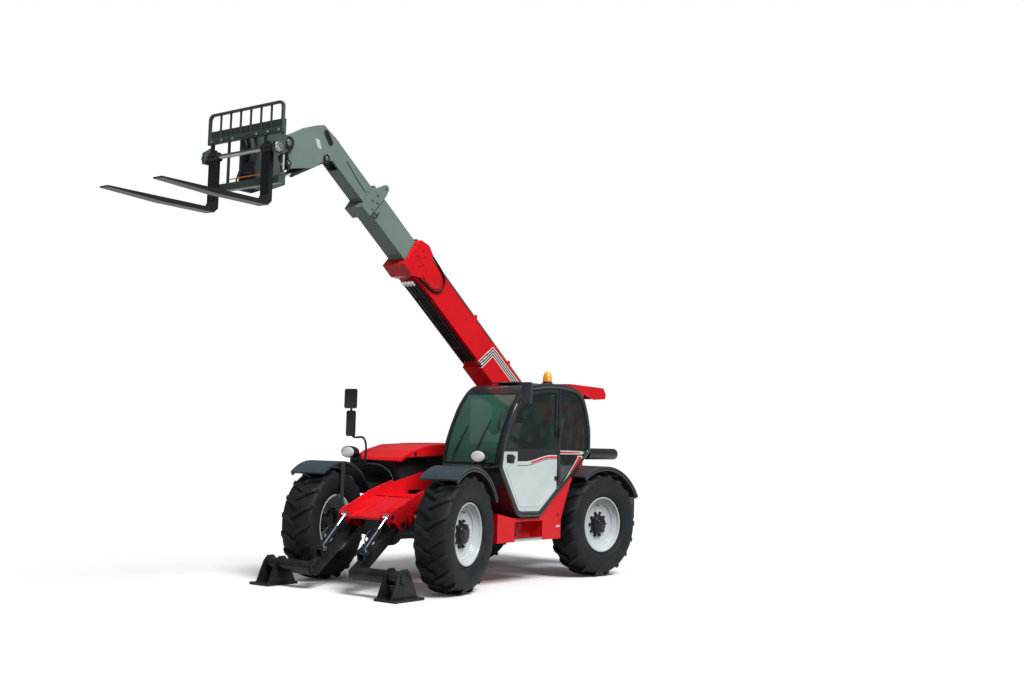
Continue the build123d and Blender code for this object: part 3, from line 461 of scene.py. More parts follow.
def make_finishes(paints):
    """One finish for each material slot of the record, and a few for trim."""
    red, pale, black = (tuple(getattr(paints, key)) for key in ("red", "pale", "black"))
    frame_tone, plastic_tone = tuple(paints.frame), tuple(paints.plastic)
    made = {
        "red": painted("paint_red", red, 0.32, 0.25),
        # the dark tone is the painted shadow beside the boom's pale pin stripes
        "boom_red": outer_boom_paint(red, (0.03, 0.01, 0.012)),
        "boom_pale": painted("paint_grey_green", pale, 0.38, 0.3),
        # the carriage's grey-green is the boom's paint darkened to 0.42: painted shade
        "carriage": painted("paint_carriage_shaded", shade(pale, 0.42), 0.4, 0.25, (0.16, 0.15, 0.14)),
        "door_silver": door_paint(tuple(paints.silver), shade(frame_tone, 0.6), red),
        "rim": painted("paint_rim", shade(tuple(paints.rim), 0.74), 0.34, 0.6),
        "cab_frame": painted("paint_cab_frame", shade(frame_tone, 0.5), 0.28, 1.6, eased=0.008),
        "stabiliser": painted("paint_black", black, 0.3, 0.45, (0.2, 0.2, 0.2)),
        "cylinder": painted("paint_blue_black", (0.012, 0.022, 0.034), 0.25, 0.6),
        "fork": painted("paint_fork", (0.02, 0.024, 0.026), 0.42, 0.15, (0.22, 0.2, 0.19)),
        "tyre": rubber_finish("rubber_tyre", tuple(paints.rubber)),
        "hose": rubber_finish("rubber_hose", shade(tuple(paints.rubber), 0.9)),
        "fender": plastic("plastic_fender", shade(plastic_tone, 1.35), 0.36, 700, 0.008),
        "black_trim": plastic("plastic_black", (0.014, 0.016, 0.019)),
        "cab_trim": plastic("plastic_cab", (0.02, 0.022, 0.025), 0.5),
        "hood_black": plastic("plastic_hood_side", (0.016, 0.019, 0.022), 0.4, 600, 0.008),
        "axle": cast_iron("iron_axle", (0.022, 0.024, 0.027)),
        "dark_cast": cast_iron("iron_counterweight", (0.028, 0.031, 0.034)),
        "engine": cast_iron("iron_engine", (0.05, 0.05, 0.052)),
        "pin": bare_metal("steel_pin", (0.36, 0.36, 0.36), 0.34),
        "chrome": bare_metal("steel_chrome", (0.86, 0.87, 0.89), 0.14),
        "zinc": bare_metal("steel_zinc", (0.62, 0.62, 0.60), 0.36),
        "mirror": bare_metal("silvered_glass", (0.75, 0.79, 0.82), 0.12),
        # the second tone is the windscreen's painted reflection and the colour of the film
        "glass": tinted_glass("glass_tinted", (0.012, 0.018, 0.017), (0.05, 0.15, 0.105), 0.4),
        "lens": lamp_glass("lens_clear", (0.97, 0.98, 1.0), 0.3, 0.35),
        "amber": lamp_glass("lens_amber", (0.9, 0.33, 0.01), 0.1, 0.1),
        "lens_red": lamp_glass("lens_red", (0.55, 0.01, 0.01), 0.1),
        "beacon": lamp_glass("lens_beacon", (0.98, 0.42, 0.01), 0.12, 0.25),
        "seat": upholstery("cloth_seat", (0.16, 0.012, 0.018), (0.012, 0.012, 0.014)),
        "label": painted("label_blank", (0.62, 0.64, 0.6), 0.5, 0.1),
    }
    FINISHES.update({key: finish.material for key, finish in made.items()})


# ================================================================ mesh tools
def linked(obj, body, slot, finish=None):
    """Puts a new object into the scene on its body."""
    bpy.context.scene.collection.objects.link(obj)
    obj.data.materials.append(FINISHES[finish or slot])
    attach(obj, body)
    return obj


def path(*points):
    """Points given from the middle of the rear axle."""
    return [at(*point) for point in points]


def on_boom(along, left, up):
    return BOOM @ Vector((along, left, up))


def rectangle(left, low, right, high):
    """An outline from two opposite corners."""
    return [(left, low), (right, low), (right, high), (left, high)]


def circle(count, wide, high, w, shift=0.0):
    """Evenly spaced points round the w axis."""
    angles = [math.tau * (k + shift) / count for k in range(count)]
    return [Vector((math.cos(angle) * wide, math.sin(angle) * high, w)) for angle in angles]


def rounded_outline(points, radius, steps=6):
    """An outline with each corner turned into an arc; radius is one for all or a list."""
    out = []
    radii = radius if isinstance(radius, list) else [radius] * len(points)
    for i, corner in enumerate(points):
        p, a, b = Vector(corner), Vector(points[i - 1]), Vector(points[(i + 1) % len(points)])
        u, v = (a - p).normalized(), (b - p).normalized()
        half = u.angle(v) / 2
        reach = min(radii[i] / math.tan(half), 0.48 * (a - p).length, 0.48 * (b - p).length)
        r = reach * math.tan(half)
        centre = p + (u + v).normalized() * (r / math.sin(half))
        start, end = p + u * reach - centre, p + v * reach - centre
        total = start.angle_signed(end)
        for k in range(steps + 1):
            turn = Matrix.Rotation(-total * k / steps, 2)
            out.append(centre + turn @ start)
    return out


def inset(points, by):
    """A convex outline moved inwards."""
    pts = [Vector(p) for p in points]
    middle = sum(pts, Vector((0, 0))) / len(pts)
    lines = []
    for a, b in zip(pts, pts[1:] + pts[:1]):
        normal = (b - a).orthogonal().normalized()
        if normal.dot(middle - a) < 0:
            normal.negate()
        lines.append((a + normal * by, (b - a).normalized()))
    out = []
    for (p, d), (q, e) in zip(lines[-1:] + lines[:-1], lines):
        cross = d.x * e.y - d.y * e.x
        out.append(p + d * (((q - p).x * e.y - (q - p).y * e.x) / cross))
    return out


class Shape:
    """Collects the forms of one piece."""

    def __init__(self):
        self.mesh = bmesh.new()

    def row(self, points, w, place):
        """Vertices of an outline in u and v, at one w."""
        return [self.mesh.verts.new(place @ Vector((p[0], p[1], w))) for p in points]

    def skin(self, rows):
        """Faces between closed rows of vertices, each to the next and the last to the first."""
        faces = []
        for a, b in zip(rows, rows[1:] + rows[:1]):
            for i in range(len(a)):
                j = (i + 1) % len(a)
                faces.append(self.mesh.faces.new((a[i], a[j], b[j], b[i])))
        return faces

    def ease(self, edges, width, segments=2):
        if width:
            bmesh.ops.bevel(
                self.mesh, geom=edges, offset=width, segments=segments, profile=0.5, affect="EDGES"
            )

    def lathe(self, profile, place, segments=64):
        """A form turned about the w axis of place; profile is a list of (along it, radius)."""
        rings = []
        for side in circle(segments, 1, 1, 0):
            spots = [place @ (side * r + Vector((0, 0, w))) for w, r in profile]
            rings.append([self.mesh.verts.new(spot) for spot in spots])
        for a, b in zip(rings, rings[1:] + rings[:1]):
            for k in range(len(profile) - 1):
                self.mesh.faces.new((a[k], b[k], b[k + 1], a[k + 1]))
        bmesh.ops.remove_doubles(self.mesh, verts=sum(rings, []), dist=1e-6)
        return self

    def closed_lathe(self, profile, place, segments=64):
        return self.lathe(list(profile) + [profile[0]], place, segments)

    def slab(self, outline, low, high, place=SIDE_VIEW, bevel=0.0, segments=2):
        """A plate with its outline in u and v, from low to high along w."""
        near, far = self.row(outline, low, place), self.row(outline, high, place)
        faces = [self.mesh.faces.new(near), self.mesh.faces.new(far[::-1])]
        for i in range(len(outline)):
            j = (i + 1) % len(outline)
            faces.append(self.mesh.faces.new((near[j], near[i], far[i], far[j])))
        bmesh.ops.recalc_face_normals(self.mesh, faces=faces)
        eased = faces if len(outline) < FEW_CORNERS else faces[:2]
        self.ease(list(dict.fromkeys(e for f in eased for e in f.edges)), bevel, segments)
        return self

    def panel(self, sides, radius, low, high, place=SIDE_VIEW, bevel=0.0, segments=2):
        """A rectangular plate with rounded corners."""
        outline = rounded_outline(rectangle(*sides), radius)
        return self.slab(outline, low, high, place, bevel, segments)

    def ring(self, outer, inner, low, high, place, bevel=0.0):
        """A frame between two outlines with the same number of points, from low to high along w."""
        levels = ((outer, low), (outer, high), (inner, high), (inner, low))
        loops = [self.row(line, w, place) for line, w in levels]
        faces = self.skin(loops)
        bmesh.ops.recalc_face_normals(self.mesh, faces=faces)
        pairs = [(line[i], line[i - 1]) for line in loops for i in range(len(line))]
        self.ease([self.mesh.edges.get(pair) for pair in pairs], bevel)
        return self

    def box(self, low, high, bevel=0.003, place=MACHINE):
        return self.slab(rectangle(*low[:2], *high[:2]), low[2], high[2], place, bevel)

    def rod(self, start, end, radius, segments=24, eased=0.0):
        """A round bar between two points, with eased ends."""
        start, end = Vector(start), Vector(end)
        axis = (end - start).normalized()
        side = axis.orthogonal()
        place = axes(start, side, axis.cross(side), axis)
        run = (end - start).length
        e = min(eased, radius / 2, run / 3)
        profile = [(0, 0), (0, radius - e), (e, radius), (run - e, radius), (run, radius - e), (run, 0)]
        if not e:
            profile = [(0, 0), (0, radius), (run, radius), (run, 0)]
        return self.lathe(profile, place, segments)

    def pin(self, x, z, y0, y1, radius, segments=24, eased=0.003):
        """A round bar that lies across the machine."""
        return self.rod(at(x, y0, z), at(x, y1, z), radius, segments, eased)

    def bolt(self, centre, axis, radius=0.012, height=0.01):
        """A hexagon head on a washer, standing on a face."""
        centre, axis = Vector(centre), Vector(axis).normalized()
        self.rod(centre, centre + axis * height * 0.25, radius * 1.5, 16)
        return self.rod(centre, centre + axis * height, radius, 6, height * 0.2)

    def piece(self, name, body, slot, finish=None, smooth=38):
        mesh = bpy.data.meshes.new(name)
        bmesh.ops.recalc_face_normals(self.mesh, faces=self.mesh.faces)
        self.mesh.to_mesh(mesh)
        self.mesh.free()
        mesh.shade_smooth()
        mesh.set_sharp_from_angle(angle=math.radians(smooth))
        return linked(bpy.data.objects.new(name, mesh), body, slot, finish)


def hoses(name, routes, radius, body, slot, finish="hose", closed=False):
    """Round bars: eased through a few points, or closed and straight from point to point."""
    line = bpy.data.curves.new(name, "CURVE")
    line.dimensions = "3D"
    line.bevel_depth = radius
    line.bevel_resolution = 3 if closed else 4
    line.use_fill_caps = not closed
    for route in routes:
        spline = line.splines.new("POLY" if closed else "NURBS")
        spline.points.add(len(route) - 1)
        for point, where in zip(spline.points, route):
            point.co = (*where, 1)
        spline.use_cyclic_u = closed
        if not closed:
            spline.order_u = 3
            spline.use_endpoint_u = True
            spline.resolution_u = 10
    return linked(bpy.data.objects.new(name, line), body, slot, finish)


class DressingOperator:
    """What every operator of this panel shares."""

    bl_options = {"REGISTER", "UNDO"}

    def execute(self, context):
        self.make(context.scene)
        return {"FINISHED"}


def wheel_place(corner, outward=True):
    """Axes of a wheel: u forward, v up, w along its axle, outward on request."""
    joint = JOINTS[corner + "_wheel"]
    axle = Vector(joint["axis"]).normalized()
    if outward and "right" in corner:
        axle.negate()
    forward = Vector((axle.y, -axle.x, 0))
    if forward.x < 0:
        forward.negate()
    return axes(Vector(joint["pos_m"]), forward, UP, axle)


# ================================================================ pieces
class TELEHANDLER_OT_finishes(DressingOperator, bpy.types.Operator):
    """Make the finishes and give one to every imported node"""

    bl_idname = "telehandler.finishes"
    bl_label = "Finishes"

    def make(self, scene):
        make_finishes(scene.telehandler_paints)
        for row in frame["record"]["subparts"]:
            node, slot = row["node"], row["material_slot"]
            materials = NODES[node].data.materials
            materials.clear()
            materials.append(FINISHES["boom_red" if node == "boom_outer" else slot])


# Tyre: half of the carcass as (across, radius), and the ridge of a lug as
# (across, radius of its top, radius of its foot).
CARCASS = (
    (0.140, 0.306), (0.141, 0.334), (0.150, 0.341), (0.165, 0.345), (0.171, 0.349), (0.174, 0.357),
    (0.174, 0.366), (0.181, 0.372), (0.189, 0.392), (0.196, 0.425), (0.199, 0.455), (0.199, 0.488),
    (0.196, 0.518), (0.189, 0.543), (0.180, 0.560), (0.162, 0.573), (0.120, 0.581), (0.060, 0.585),
    (0.0, 0.586),
)
LUG_RIDGE = (
    (-0.014, 0.6185, 0.578), (0.03, 0.6185, 0.578), (0.08, 0.6175, 0.576), (0.125, 0.615, 0.572),
    (0.158, 0.606, 0.566), (0.175, 0.592, 0.55), (0.184, 0.57, 0.53), (0.190, 0.545, 0.51),
    (0.196, 0.517, 0.50), (0.1985, 0.499, 0.495),
)
HALF_TREAD, TREAD_RADIUS, WHEEL_SEGMENTS = 0.2, 0.6, 96


class TELEHANDLER_OT_tyres(DressingOperator, bpy.types.Operator):
    """Shape the tyres with their curved tread lugs"""

    bl_idname = "telehandler.tyres"
    bl_label = "Tyres"

    def make(self, scene):
        settings = scene.telehandler_tyres
        profile = list(CARCASS) + [(-w, r) for w, r in reversed(CARCASS[:-1])]
        for corner in CORNERS:
            place = wheel_place(corner, outward=False)
            shape = Shape().closed_lathe(profile, place, WHEEL_SEGMENTS)
            for k in range(settings.lugs):
                turn = math.tau * k / settings.lugs
                self.lug(shape, place, settings, turn, 1)
                self.lug(shape, place, settings, turn + math.pi / settings.lugs, -1)
            tyre = shape.piece("tread_" + corner, "wheel_" + corner, "tyre", smooth=32)
            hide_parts("tyre_" + corner)

    def lug(self, shape, place, settings, turn, side):
        """One lug: a ridge that trails backwards from the middle to the shoulder."""
        rings = []
        for across, top, foot in LUG_RIDGE:
            reach = max(0, across) / HALF_TREAD
            trail = settings.sweep * (0.35 * reach + 0.65 * reach**0.75)
            broad = settings.width * (1 - 0.12 * reach)
            half = ((0.5, foot), (0.43, top - 0.008), (0.37, top))
            ring = []
            for where, radius in [(-w, r) for w, r in half] + list(reversed(half)):
                angle = math.pi / 2 + turn + (trail + where * broad) / TREAD_RADIUS
                lean = 0.35 * reach * (radius - foot) * 0.2
                spot = (math.cos(angle) * radius, math.sin(angle) * radius, side * (across - lean))
                ring.append(shape.mesh.verts.new(place @ Vector(spot)))
            rings.append(ring)
        for a, b in zip(rings, rings[1:]):
            for i in range(len(a)):
                j = (i + 1) % len(a)
                shape.mesh.faces.new((a[i], a[j], b[j], b[i]))
        shape.mesh.faces.new(rings[0])
        shape.mesh.faces.new(rings[-1][::-1])


# Rim: its section as (outward, radius), and the hub's.
RIM_SECTION = (
    (-0.157, 0.312), (-0.159, 0.320), (-0.156, 0.329), (-0.146, 0.329), (-0.141, 0.322),
    (-0.139, 0.305), (-0.02, 0.297), (0.139, 0.305), (0.141, 0.322), (0.146, 0.329), (0.155, 0.329),
    (0.158, 0.324), (0.157, 0.314), (0.149, 0.306), (0.128, 0.301), (0.122, 0.297), (0.119, 0.286),
    (0.110, 0.279), (0.104, 0.277), (0.100, 0.271), (0.098, 0.259), (0.086, 0.248), (0.080, 0.246),
    (0.077, 0.240), (0.075, 0.226), (0.069, 0.214), (0.066, 0.205), (0.066, 0.118), (0.050, 0.118),
    (0.050, 0.19), (0.060, 0.230), (0.098, 0.272), (0.098, 0.289), (-0.139, 0.289),
)
HUB_SECTION = (
    (0.040, 0.110), (0.066, 0.112), (0.068, 0.119), (0.076, 0.119), (0.080, 0.112), (0.086, 0.110),
    (0.112, 0.104), (0.122, 0.097), (0.127, 0.086), (0.129, 0.066), (0.136, 0.062), (0.138, 0.058),
    (0.1395, 0.052), (0.1395, 0.030), (0.136, 0.026), (0.136, 0.0),
)


class TELEHANDLER_OT_rims(DressingOperator, bpy.types.Operator):
    """Shape the rims, hubs, wheel nuts and valves"""

    bl_idname = "telehandler.rims"
    bl_label = "Rims"

    def make(self, scene):
        for corner in CORNERS:
            place, body = wheel_place(corner), "wheel_" + corner
            rim = Shape().closed_lathe(RIM_SECTION, place, WHEEL_SEGMENTS)
            rim = rim.piece("disc_" + corner, body, "rim")
            hub_piece = self.hub(corner, place, body)
            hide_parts("rim_" + corner)
            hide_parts("rim_" + corner)
            ends = ((0.232, 0.07), (0.226, 0.112), (0.2275, 0.102), (0.225, 0.122))
            a, b, c, d = [place @ Vector((0.03, v, w)) for v, w in ends]
            stem = Shape().rod(a, b, 0.005, 12).rod(c, d, 0.007, 12, 0.002)
            stem.piece("valve_" + corner, body, "rim", "hose")

    def hub(self, corner, place, body):
        """The hub with its wheel nuts on their studs, and the screws of its cap."""
        hub = Shape().lathe(HUB_SECTION, place, 48)
        out = place.to_3x3() @ Vector(UP)
        for foot in circle(10, 0.138, 0.138, 0.065):
            foot = place @ foot
            hub.rod(foot, foot + out * 0.006, 0.020, 20, 0.002)
            hub.rod(foot, foot + out * 0.024, 0.0145, 6, 0.003)
            hub.rod(foot, foot + out * 0.034, 0.0075, 12, 0.002)
        for foot in circle(6, 0.078, 0.076, 0.1275, 0.5):
            foot = place @ foot
            hub.rod(foot, foot + out * 0.006, 0.008, 6, 0.001)
        return hub.piece("hub_" + corner, body, "axle", "stabiliser")


# Cab: side outline and the radius of each corner.
CAB_SIDE = (
    (1.995, 1.29, 0.12), (1.963, 1.536, 0.7), (1.865, 1.755, 0.7), (1.745, 1.972, 0.7),
    (1.6, 2.135, 0.5), (1.48, 2.215, 0.3), (1.1, 2.265, 0.7), (0.8, 2.268, 0.7), (0.57, 2.248, 0.5),
    (0.4, 2.19, 0.25), (0.31, 2.09, 0.4), (0.235, 1.92, 0.6), (0.183, 1.74, 0.5),
    (0.183, 1.485, 0.12), (1.205, 0.745, 0.15), (1.64, 0.755, 0.15),
)
CAB_LEFT, CAB_RIGHT = 0.980, 0.172


def cab_outline(by):
    """The cab's side outline, moved inwards."""
    corners = inset([(x, z) for x, z, _ in CAB_SIDE], by)
    return rounded_outline(corners, [max(0.02, r - by) for _, _, r in CAB_SIDE])


def pane_loops(node, direction, least=0.35):
    """Edges of a node's panes that face a direction, as closed rows of points."""
    mesh = bmesh.new()
    mesh.from_mesh(NODES[node].data)
    bmesh.ops.remove_doubles(mesh, verts=mesh.verts, dist=2e-5)
    mesh.normal_update()
    facing = [f for f in mesh.faces if f.normal.dot(Vector(direction)) > least]
    inside, follow = set(facing), {}
    for face in facing:
        for loop in face.loops:
            others = [f for f in loop.edge.link_faces if f is not face]
            if not inside.intersection(others):
                follow[loop.vert] = loop.link_loop_next.vert
    loops = []
    while follow:
        here, row = next(iter(follow)), []
        while here in follow:
            row.append(here.co.copy())
            here = follow.pop(here)
        loops.append(row)
    mesh.free()
    return [row for row in loops if max((p - row[0]).length for p in row) > SMALLEST_PANE]


class TELEHANDLER_OT_cab_frame(DressingOperator, bpy.types.Operator):
    """Add the cab's frame tubes, window rubbers, hinges, handle and belt stripes"""

    bl_idname = "telehandler.cab_frame"
    bl_label = "Cab frame"

    def make(self, scene):
        seal = scene.telehandler_trim.seal
        sides = (CAB_LEFT - 0.014, CAB_RIGHT + 0.02)
        tubes = [[at(x, y, z) for x, z in cab_outline(0.026)] for y in sides]
        hoses("cab_tube", tubes, 0.027, "chassis", "cab_frame", "cab_frame", closed=True)
        rows = pane_loops("cab_glass", LEFT, 0.9) + pane_loops("cab_glass", (1, 0, 0.2))
        rows += pane_loops("cab_glass", (-1, 0, 0.2)) + pane_loops("cab_glass", (0, -1, 0), 0.9)
        hoses("window_rubber", rows, seal * 0.6, "chassis", "cab_trim", closed=True)
        rows = pane_loops("door_glass", LEFT, 0.9)
        hoses("door_rubber", rows, seal * 0.75, "door", "cab_trim", closed=True)
        self.post()
        self.door()
        self.stripes()

    def post(self):
        """Black strip on the post behind the door, with its hinge plates."""
        strip = [(0.824, 1.12), (0.872, 1.085), (0.872, 2.235), (0.824, 2.235)]
        post = Shape().slab(strip, CAB_LEFT - 0.003, CAB_LEFT + 0.003, bevel=0.0015)
        face = CAB_LEFT + 0.009
        for z in (1.18, 1.70):
            plate = (0.826, z - 0.075, 0.868, z + 0.075)
            post.panel(plate, 0.01, CAB_LEFT + 0.002, face, bevel=0.002)
            for dz in (-0.045, 0.045):
                post.bolt(at(0.843, face, z + dz), LEFT, 0.008, 0.006)
        post.piece("door_post", "chassis", "cab_frame", "black_trim")

    def door(self):
        """Latch, inner border line of the lower panel and the handle."""
        latch = Shape().panel((1.722, 1.352, 1.812, 1.437), 0.012, 0.9765, 0.984, bevel=0.002)
        latch.box((1.737, 0.974, 1.392), (1.863, 1.0065, 1.428), 0.006)
        latch.box((1.742, 0.972, 1.352), (1.858, 0.979, 1.448), 0.002)
        latch.pin(1.77, 1.37, 0.98, 0.989, 0.009, 20, 0.002)
        latch.piece("door_latch", "door", "door_silver", "black_trim")
        corners = [
            (1.893, 1.405), (1.878, 1.30), (1.606, 0.872), (1.247, 0.864), (0.915, 1.085),
            (0.915, 1.405),
        ]
        row = [at(x, 0.9785, z) for x, z in rounded_outline(corners, 0.05)[8:-8]]
        hoses("door_border", [row], 0.0035, "door", "door_silver", "label")

    def stripes(self):
        """White and red bands behind the post, along the belt and down the rear edge."""
        belt = [(0.845, 1.452), (0.845, 1.502), (0.36, 1.494), (0.315, 1.474), (0.37, 1.455)]
        edge = [(0.36, 1.44), (0.335, 1.405), (0.70, 1.128), (0.748, 1.13), (0.47, 1.40)]
        edge.append((0.455, 1.44))
        red_belt = [(0.845, 1.468), (0.845, 1.486), (0.40, 1.482), (0.40, 1.468)]
        red_edge = [(0.385, 1.428), (0.372, 1.404), (0.60, 1.235), (0.615, 1.245), (0.452, 1.40)]
        red_edge.append((0.44, 1.428))
        for name, finish, forms, low, high in (
            ("belt_stripe_pale", "label", (belt, edge), -0.002, 0.002),
            ("belt_stripe_red", "red", (red_belt, red_edge), 0.001, 0.003),
        ):
            stripe = Shape()
            for form in forms:
                stripe.slab(form, CAB_LEFT + low, CAB_LEFT + high)
            stripe.piece(name, "chassis", "cab_frame", finish, 20)


class TELEHANDLER_OT_cab_trim(DressingOperator, bpy.types.Operator):
    """Add the wipers, grab rail, roof cover, beacon and the furniture inside the cab"""

    bl_idname = "telehandler.cab_trim"
    bl_label = "Cab trim"

    def make(self, scene):
        self.wipers()
        self.roof()
        self.beacon()
        self.seat()
        self.controls()

    def wipers(self):
        blades = Shape()
        bottom = 1.40
        for y, (x, top) in ((0.62, (1.905, 1.70)), (0.32, (1.93, 1.64))):
            foot, elbow = at(1.995, y, 1.345), at(1.99 + 0.012, y + 0.02, bottom)
            tip = at(x + 0.012, y + 0.1, top)
            blades.rod(foot, foot + Vector((0.02, 0, 0)), 0.018, 20, 0.004)
            blades.rod(foot + Vector((0.016, 0, 0)), tip, 0.006, 12, 0.002)
            along = Vector((tip.x - elbow.x, 0.11, tip.z - elbow.z)).normalized() * 0.2
            blades.rod(tip - along, tip + along * 0.62, 0.0085, 10, 0.002)
        blades.piece("wipers", "chassis", "cab_trim", "black_trim")

    def roof(self):
        """Grab rail beside the windscreen, and the cover on the roof."""
        rail = path(
            (1.905, 0.9, 1.72), (1.93, 0.9, 1.73), (1.885, 0.905, 1.84), (1.79, 0.905, 1.965),
            (1.77, 0.9, 1.95),
        )
        hoses("grab_rail", [rail], 0.011, "chassis", "cab_trim", "black_trim")
        roof = Shape()
        for x, y in ((0.98, 0.66), (0.74, 0.42)):
            roof.rod(at(x, y, 2.262), at(x, y, 2.279), 0.028, 24, 0.004)
        cover = rounded_outline([(0.62, 2.262), (1.3, 2.262), (1.24, 2.283), (0.70, 2.283)], 0.008)
        roof.slab(cover, 0.28, 0.62, bevel=0.004)
        roof.piece("roof_cover", "chassis", "cab_frame")

    def beacon(self):
        place = axes(at(0.43, 0.5, 0), AHEAD, LEFT, UP)
        base = [
            (2.19, 0.0), (2.19, 0.026), (2.268, 0.028), (2.276, 0.05), (2.282, 0.074),
            (2.294, 0.078), (2.304, 0.074), (2.310, 0.060), (2.326, 0.057), (2.326, 0.0),
        ]
        foot = Shape().lathe(base, place, 48).piece("beacon_foot", "chassis", "beacon", "black_trim")
        ribs = [(2.322, 0.0), (2.322, 0.0535)]
        for k in range(6):
            z = 2.33 + k * 0.0125
            wide = 0.0585 - 0.0075 * (k / 5) ** 2
            ribs += [(z, wide), (z + 0.0085, wide - 0.0005), (z + 0.0105, wide - 0.0025)]
        ribs += [(2.412, 0.0465), (2.426, 0.040), (2.438, 0.030), (2.446, 0.017), (2.449, 0.0)]
        dome = Shape().lathe(ribs, place, 48).piece("beacon_dome", "chassis", "beacon", smooth=50)
        lamp = [
            (2.327, 0.0), (2.327, 0.03), (2.38, 0.024), (2.385, 0.034), (2.42, 0.03), (2.43, 0.0),
        ]
        Shape().lathe(lamp, place, 24).piece("beacon_lamp", "chassis", "beacon", "zinc")
        for piece in (foot, dome):
            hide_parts("beacon")

    def seat(self):
        """Padded seat and backrest with raised side bolsters."""
        mid = SEAT_MIDDLE
        flat = ((1.0, mid, 1.28), (0.24, 0.235, 0.05), AHEAD, UP)
        self.cushion("seat_cushion", *flat, fill=0.5)
        leaning = ((0.785, mid, 1.60), (0.235, 0.215, 0.045), (-0.13, 0, 0.99), (0.99, 0, 0.13))
        self.cushion("seat_back", *leaning, fill=0.55)
        back = [(0.70, 1.335), (0.79, 1.335), (0.735, 1.845), (0.694, 1.845)]
        shell = Shape().slab(rounded_outline(back, 0.012), mid - 0.205, mid + 0.205, bevel=0.01)
        shell.box((0.765, mid - 0.2, 1.2315), (1.22, mid + 0.2, 1.25), 0.006)
        shell.piece("seat_shell", "chassis", "seat", "cab_trim")

    def cushion(self, name, centre, half, along, up, fill):
        """A crowned pad: a superellipse in plan, lower in its middle panel, with sewn channels."""
        long_way, high_way = Vector(along).normalized(), Vector(up).normalized()
        wide_way = high_way.cross(long_way)
        shape, cells, panel = Shape(), 40, 0.42
        for top in (1, -1):
            grid = []
            for i in range(cells + 1):
                a = 2 * i / cells - 1
                seam = 0.07 * math.exp(-(((a * 2.5) % 1 - 0.5) ** 2) / 0.004) * (top > 0)
                row = []
                for j in range(cells + 1):
                    b = 2 * j / cells - 1
                    lift = top * half[2] * (1 - a**6) ** 0.5 * (1 - b**6) ** 0.5
                    lift *= 1 - 0.1 * math.exp(-(((b * b - panel) / 0.05) ** 2)) * (top > 0)
                    lift *= 1 + 0.22 * max(0, b * b - panel) * (top > 0)
                    lift *= (1 - seam * (b * b < panel)) * (0.86 if top > 0 else 0.8)
                    point = at(*centre) + long_way * half[0] * (a * math.sqrt(1 - 0.18 * b * b))
                    point += wide_way * half[1] * (b * math.sqrt(1 - 0.18 * a * a))
                    point += high_way * lift
                    row.append(shape.mesh.verts.new(point))
                grid.append(row)
            for a, b in zip(grid, grid[1:]):
                for j in range(cells):
                    shape.mesh.faces.new((a[j], b[j], b[j + 1], a[j + 1]))
        bmesh.ops.remove_doubles(shape.mesh, verts=shape.mesh.verts, dist=1e-5)
        pad = shape.piece(name, "chassis", "seat", smooth=60)
        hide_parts("seat")

    def controls(self):
        """Steering wheel rim, levers and the screen on the dash."""
        tilt = Matrix.Rotation(math.radians(-25), 4, "Y")
        wheel = Matrix.Translation(at(1.52, SEAT_MIDDLE, 1.5)) @ tilt
        tube = 0.0165
        angles = [math.tau * k / 16 for k in range(16)]
        ring = [(tube * math.sin(t), 0.17 + tube * math.cos(t)) for t in angles]
        grip = Shape().closed_lathe(ring, wheel, 64)
        boss = [(-0.014, 0.0), (-0.014, 0.044), (0.012, 0.05), (0.02, 0.04), (0.022, 0.0)]
        grip.lathe(boss, wheel, 32).piece("steering_wheel", "chassis", "cab_trim", smooth=60)
        lever = Shape()
        for x, y, z in ((1.30, 0.34, 1.40), (1.22, 0.34, 1.41)):
            lever.rod(at(x, y, z - 0.2), at(x + 0.01, y, z), 0.008, 12)
            lever.rod(at(x + 0.008, y, z - 0.03), at(x + 0.012, y, z + 0.05), 0.02, 20, 0.012)
        console = rounded_outline([(1.05, 1.14), (1.4, 1.14), (1.38, 1.21), (1.08, 1.23)], 0.02)
        lever.slab(console, 0.24, 0.40, bevel=0.008)
        lever.piece("arm_console", "chassis", "cab_trim")
        face = rounded_outline([(1.72, 1.36), (1.80, 1.36), (1.765, 1.50), (1.735, 1.50)], 0.012)
        screen = Shape().slab(face, 0.46, 0.68, bevel=0.006)
        screen.rod(at(1.77, 0.57, 1.30), at(1.765, 0.57, 1.38), 0.014, 16)
        screen.piece("dash_screen", "chassis", "cab_trim")


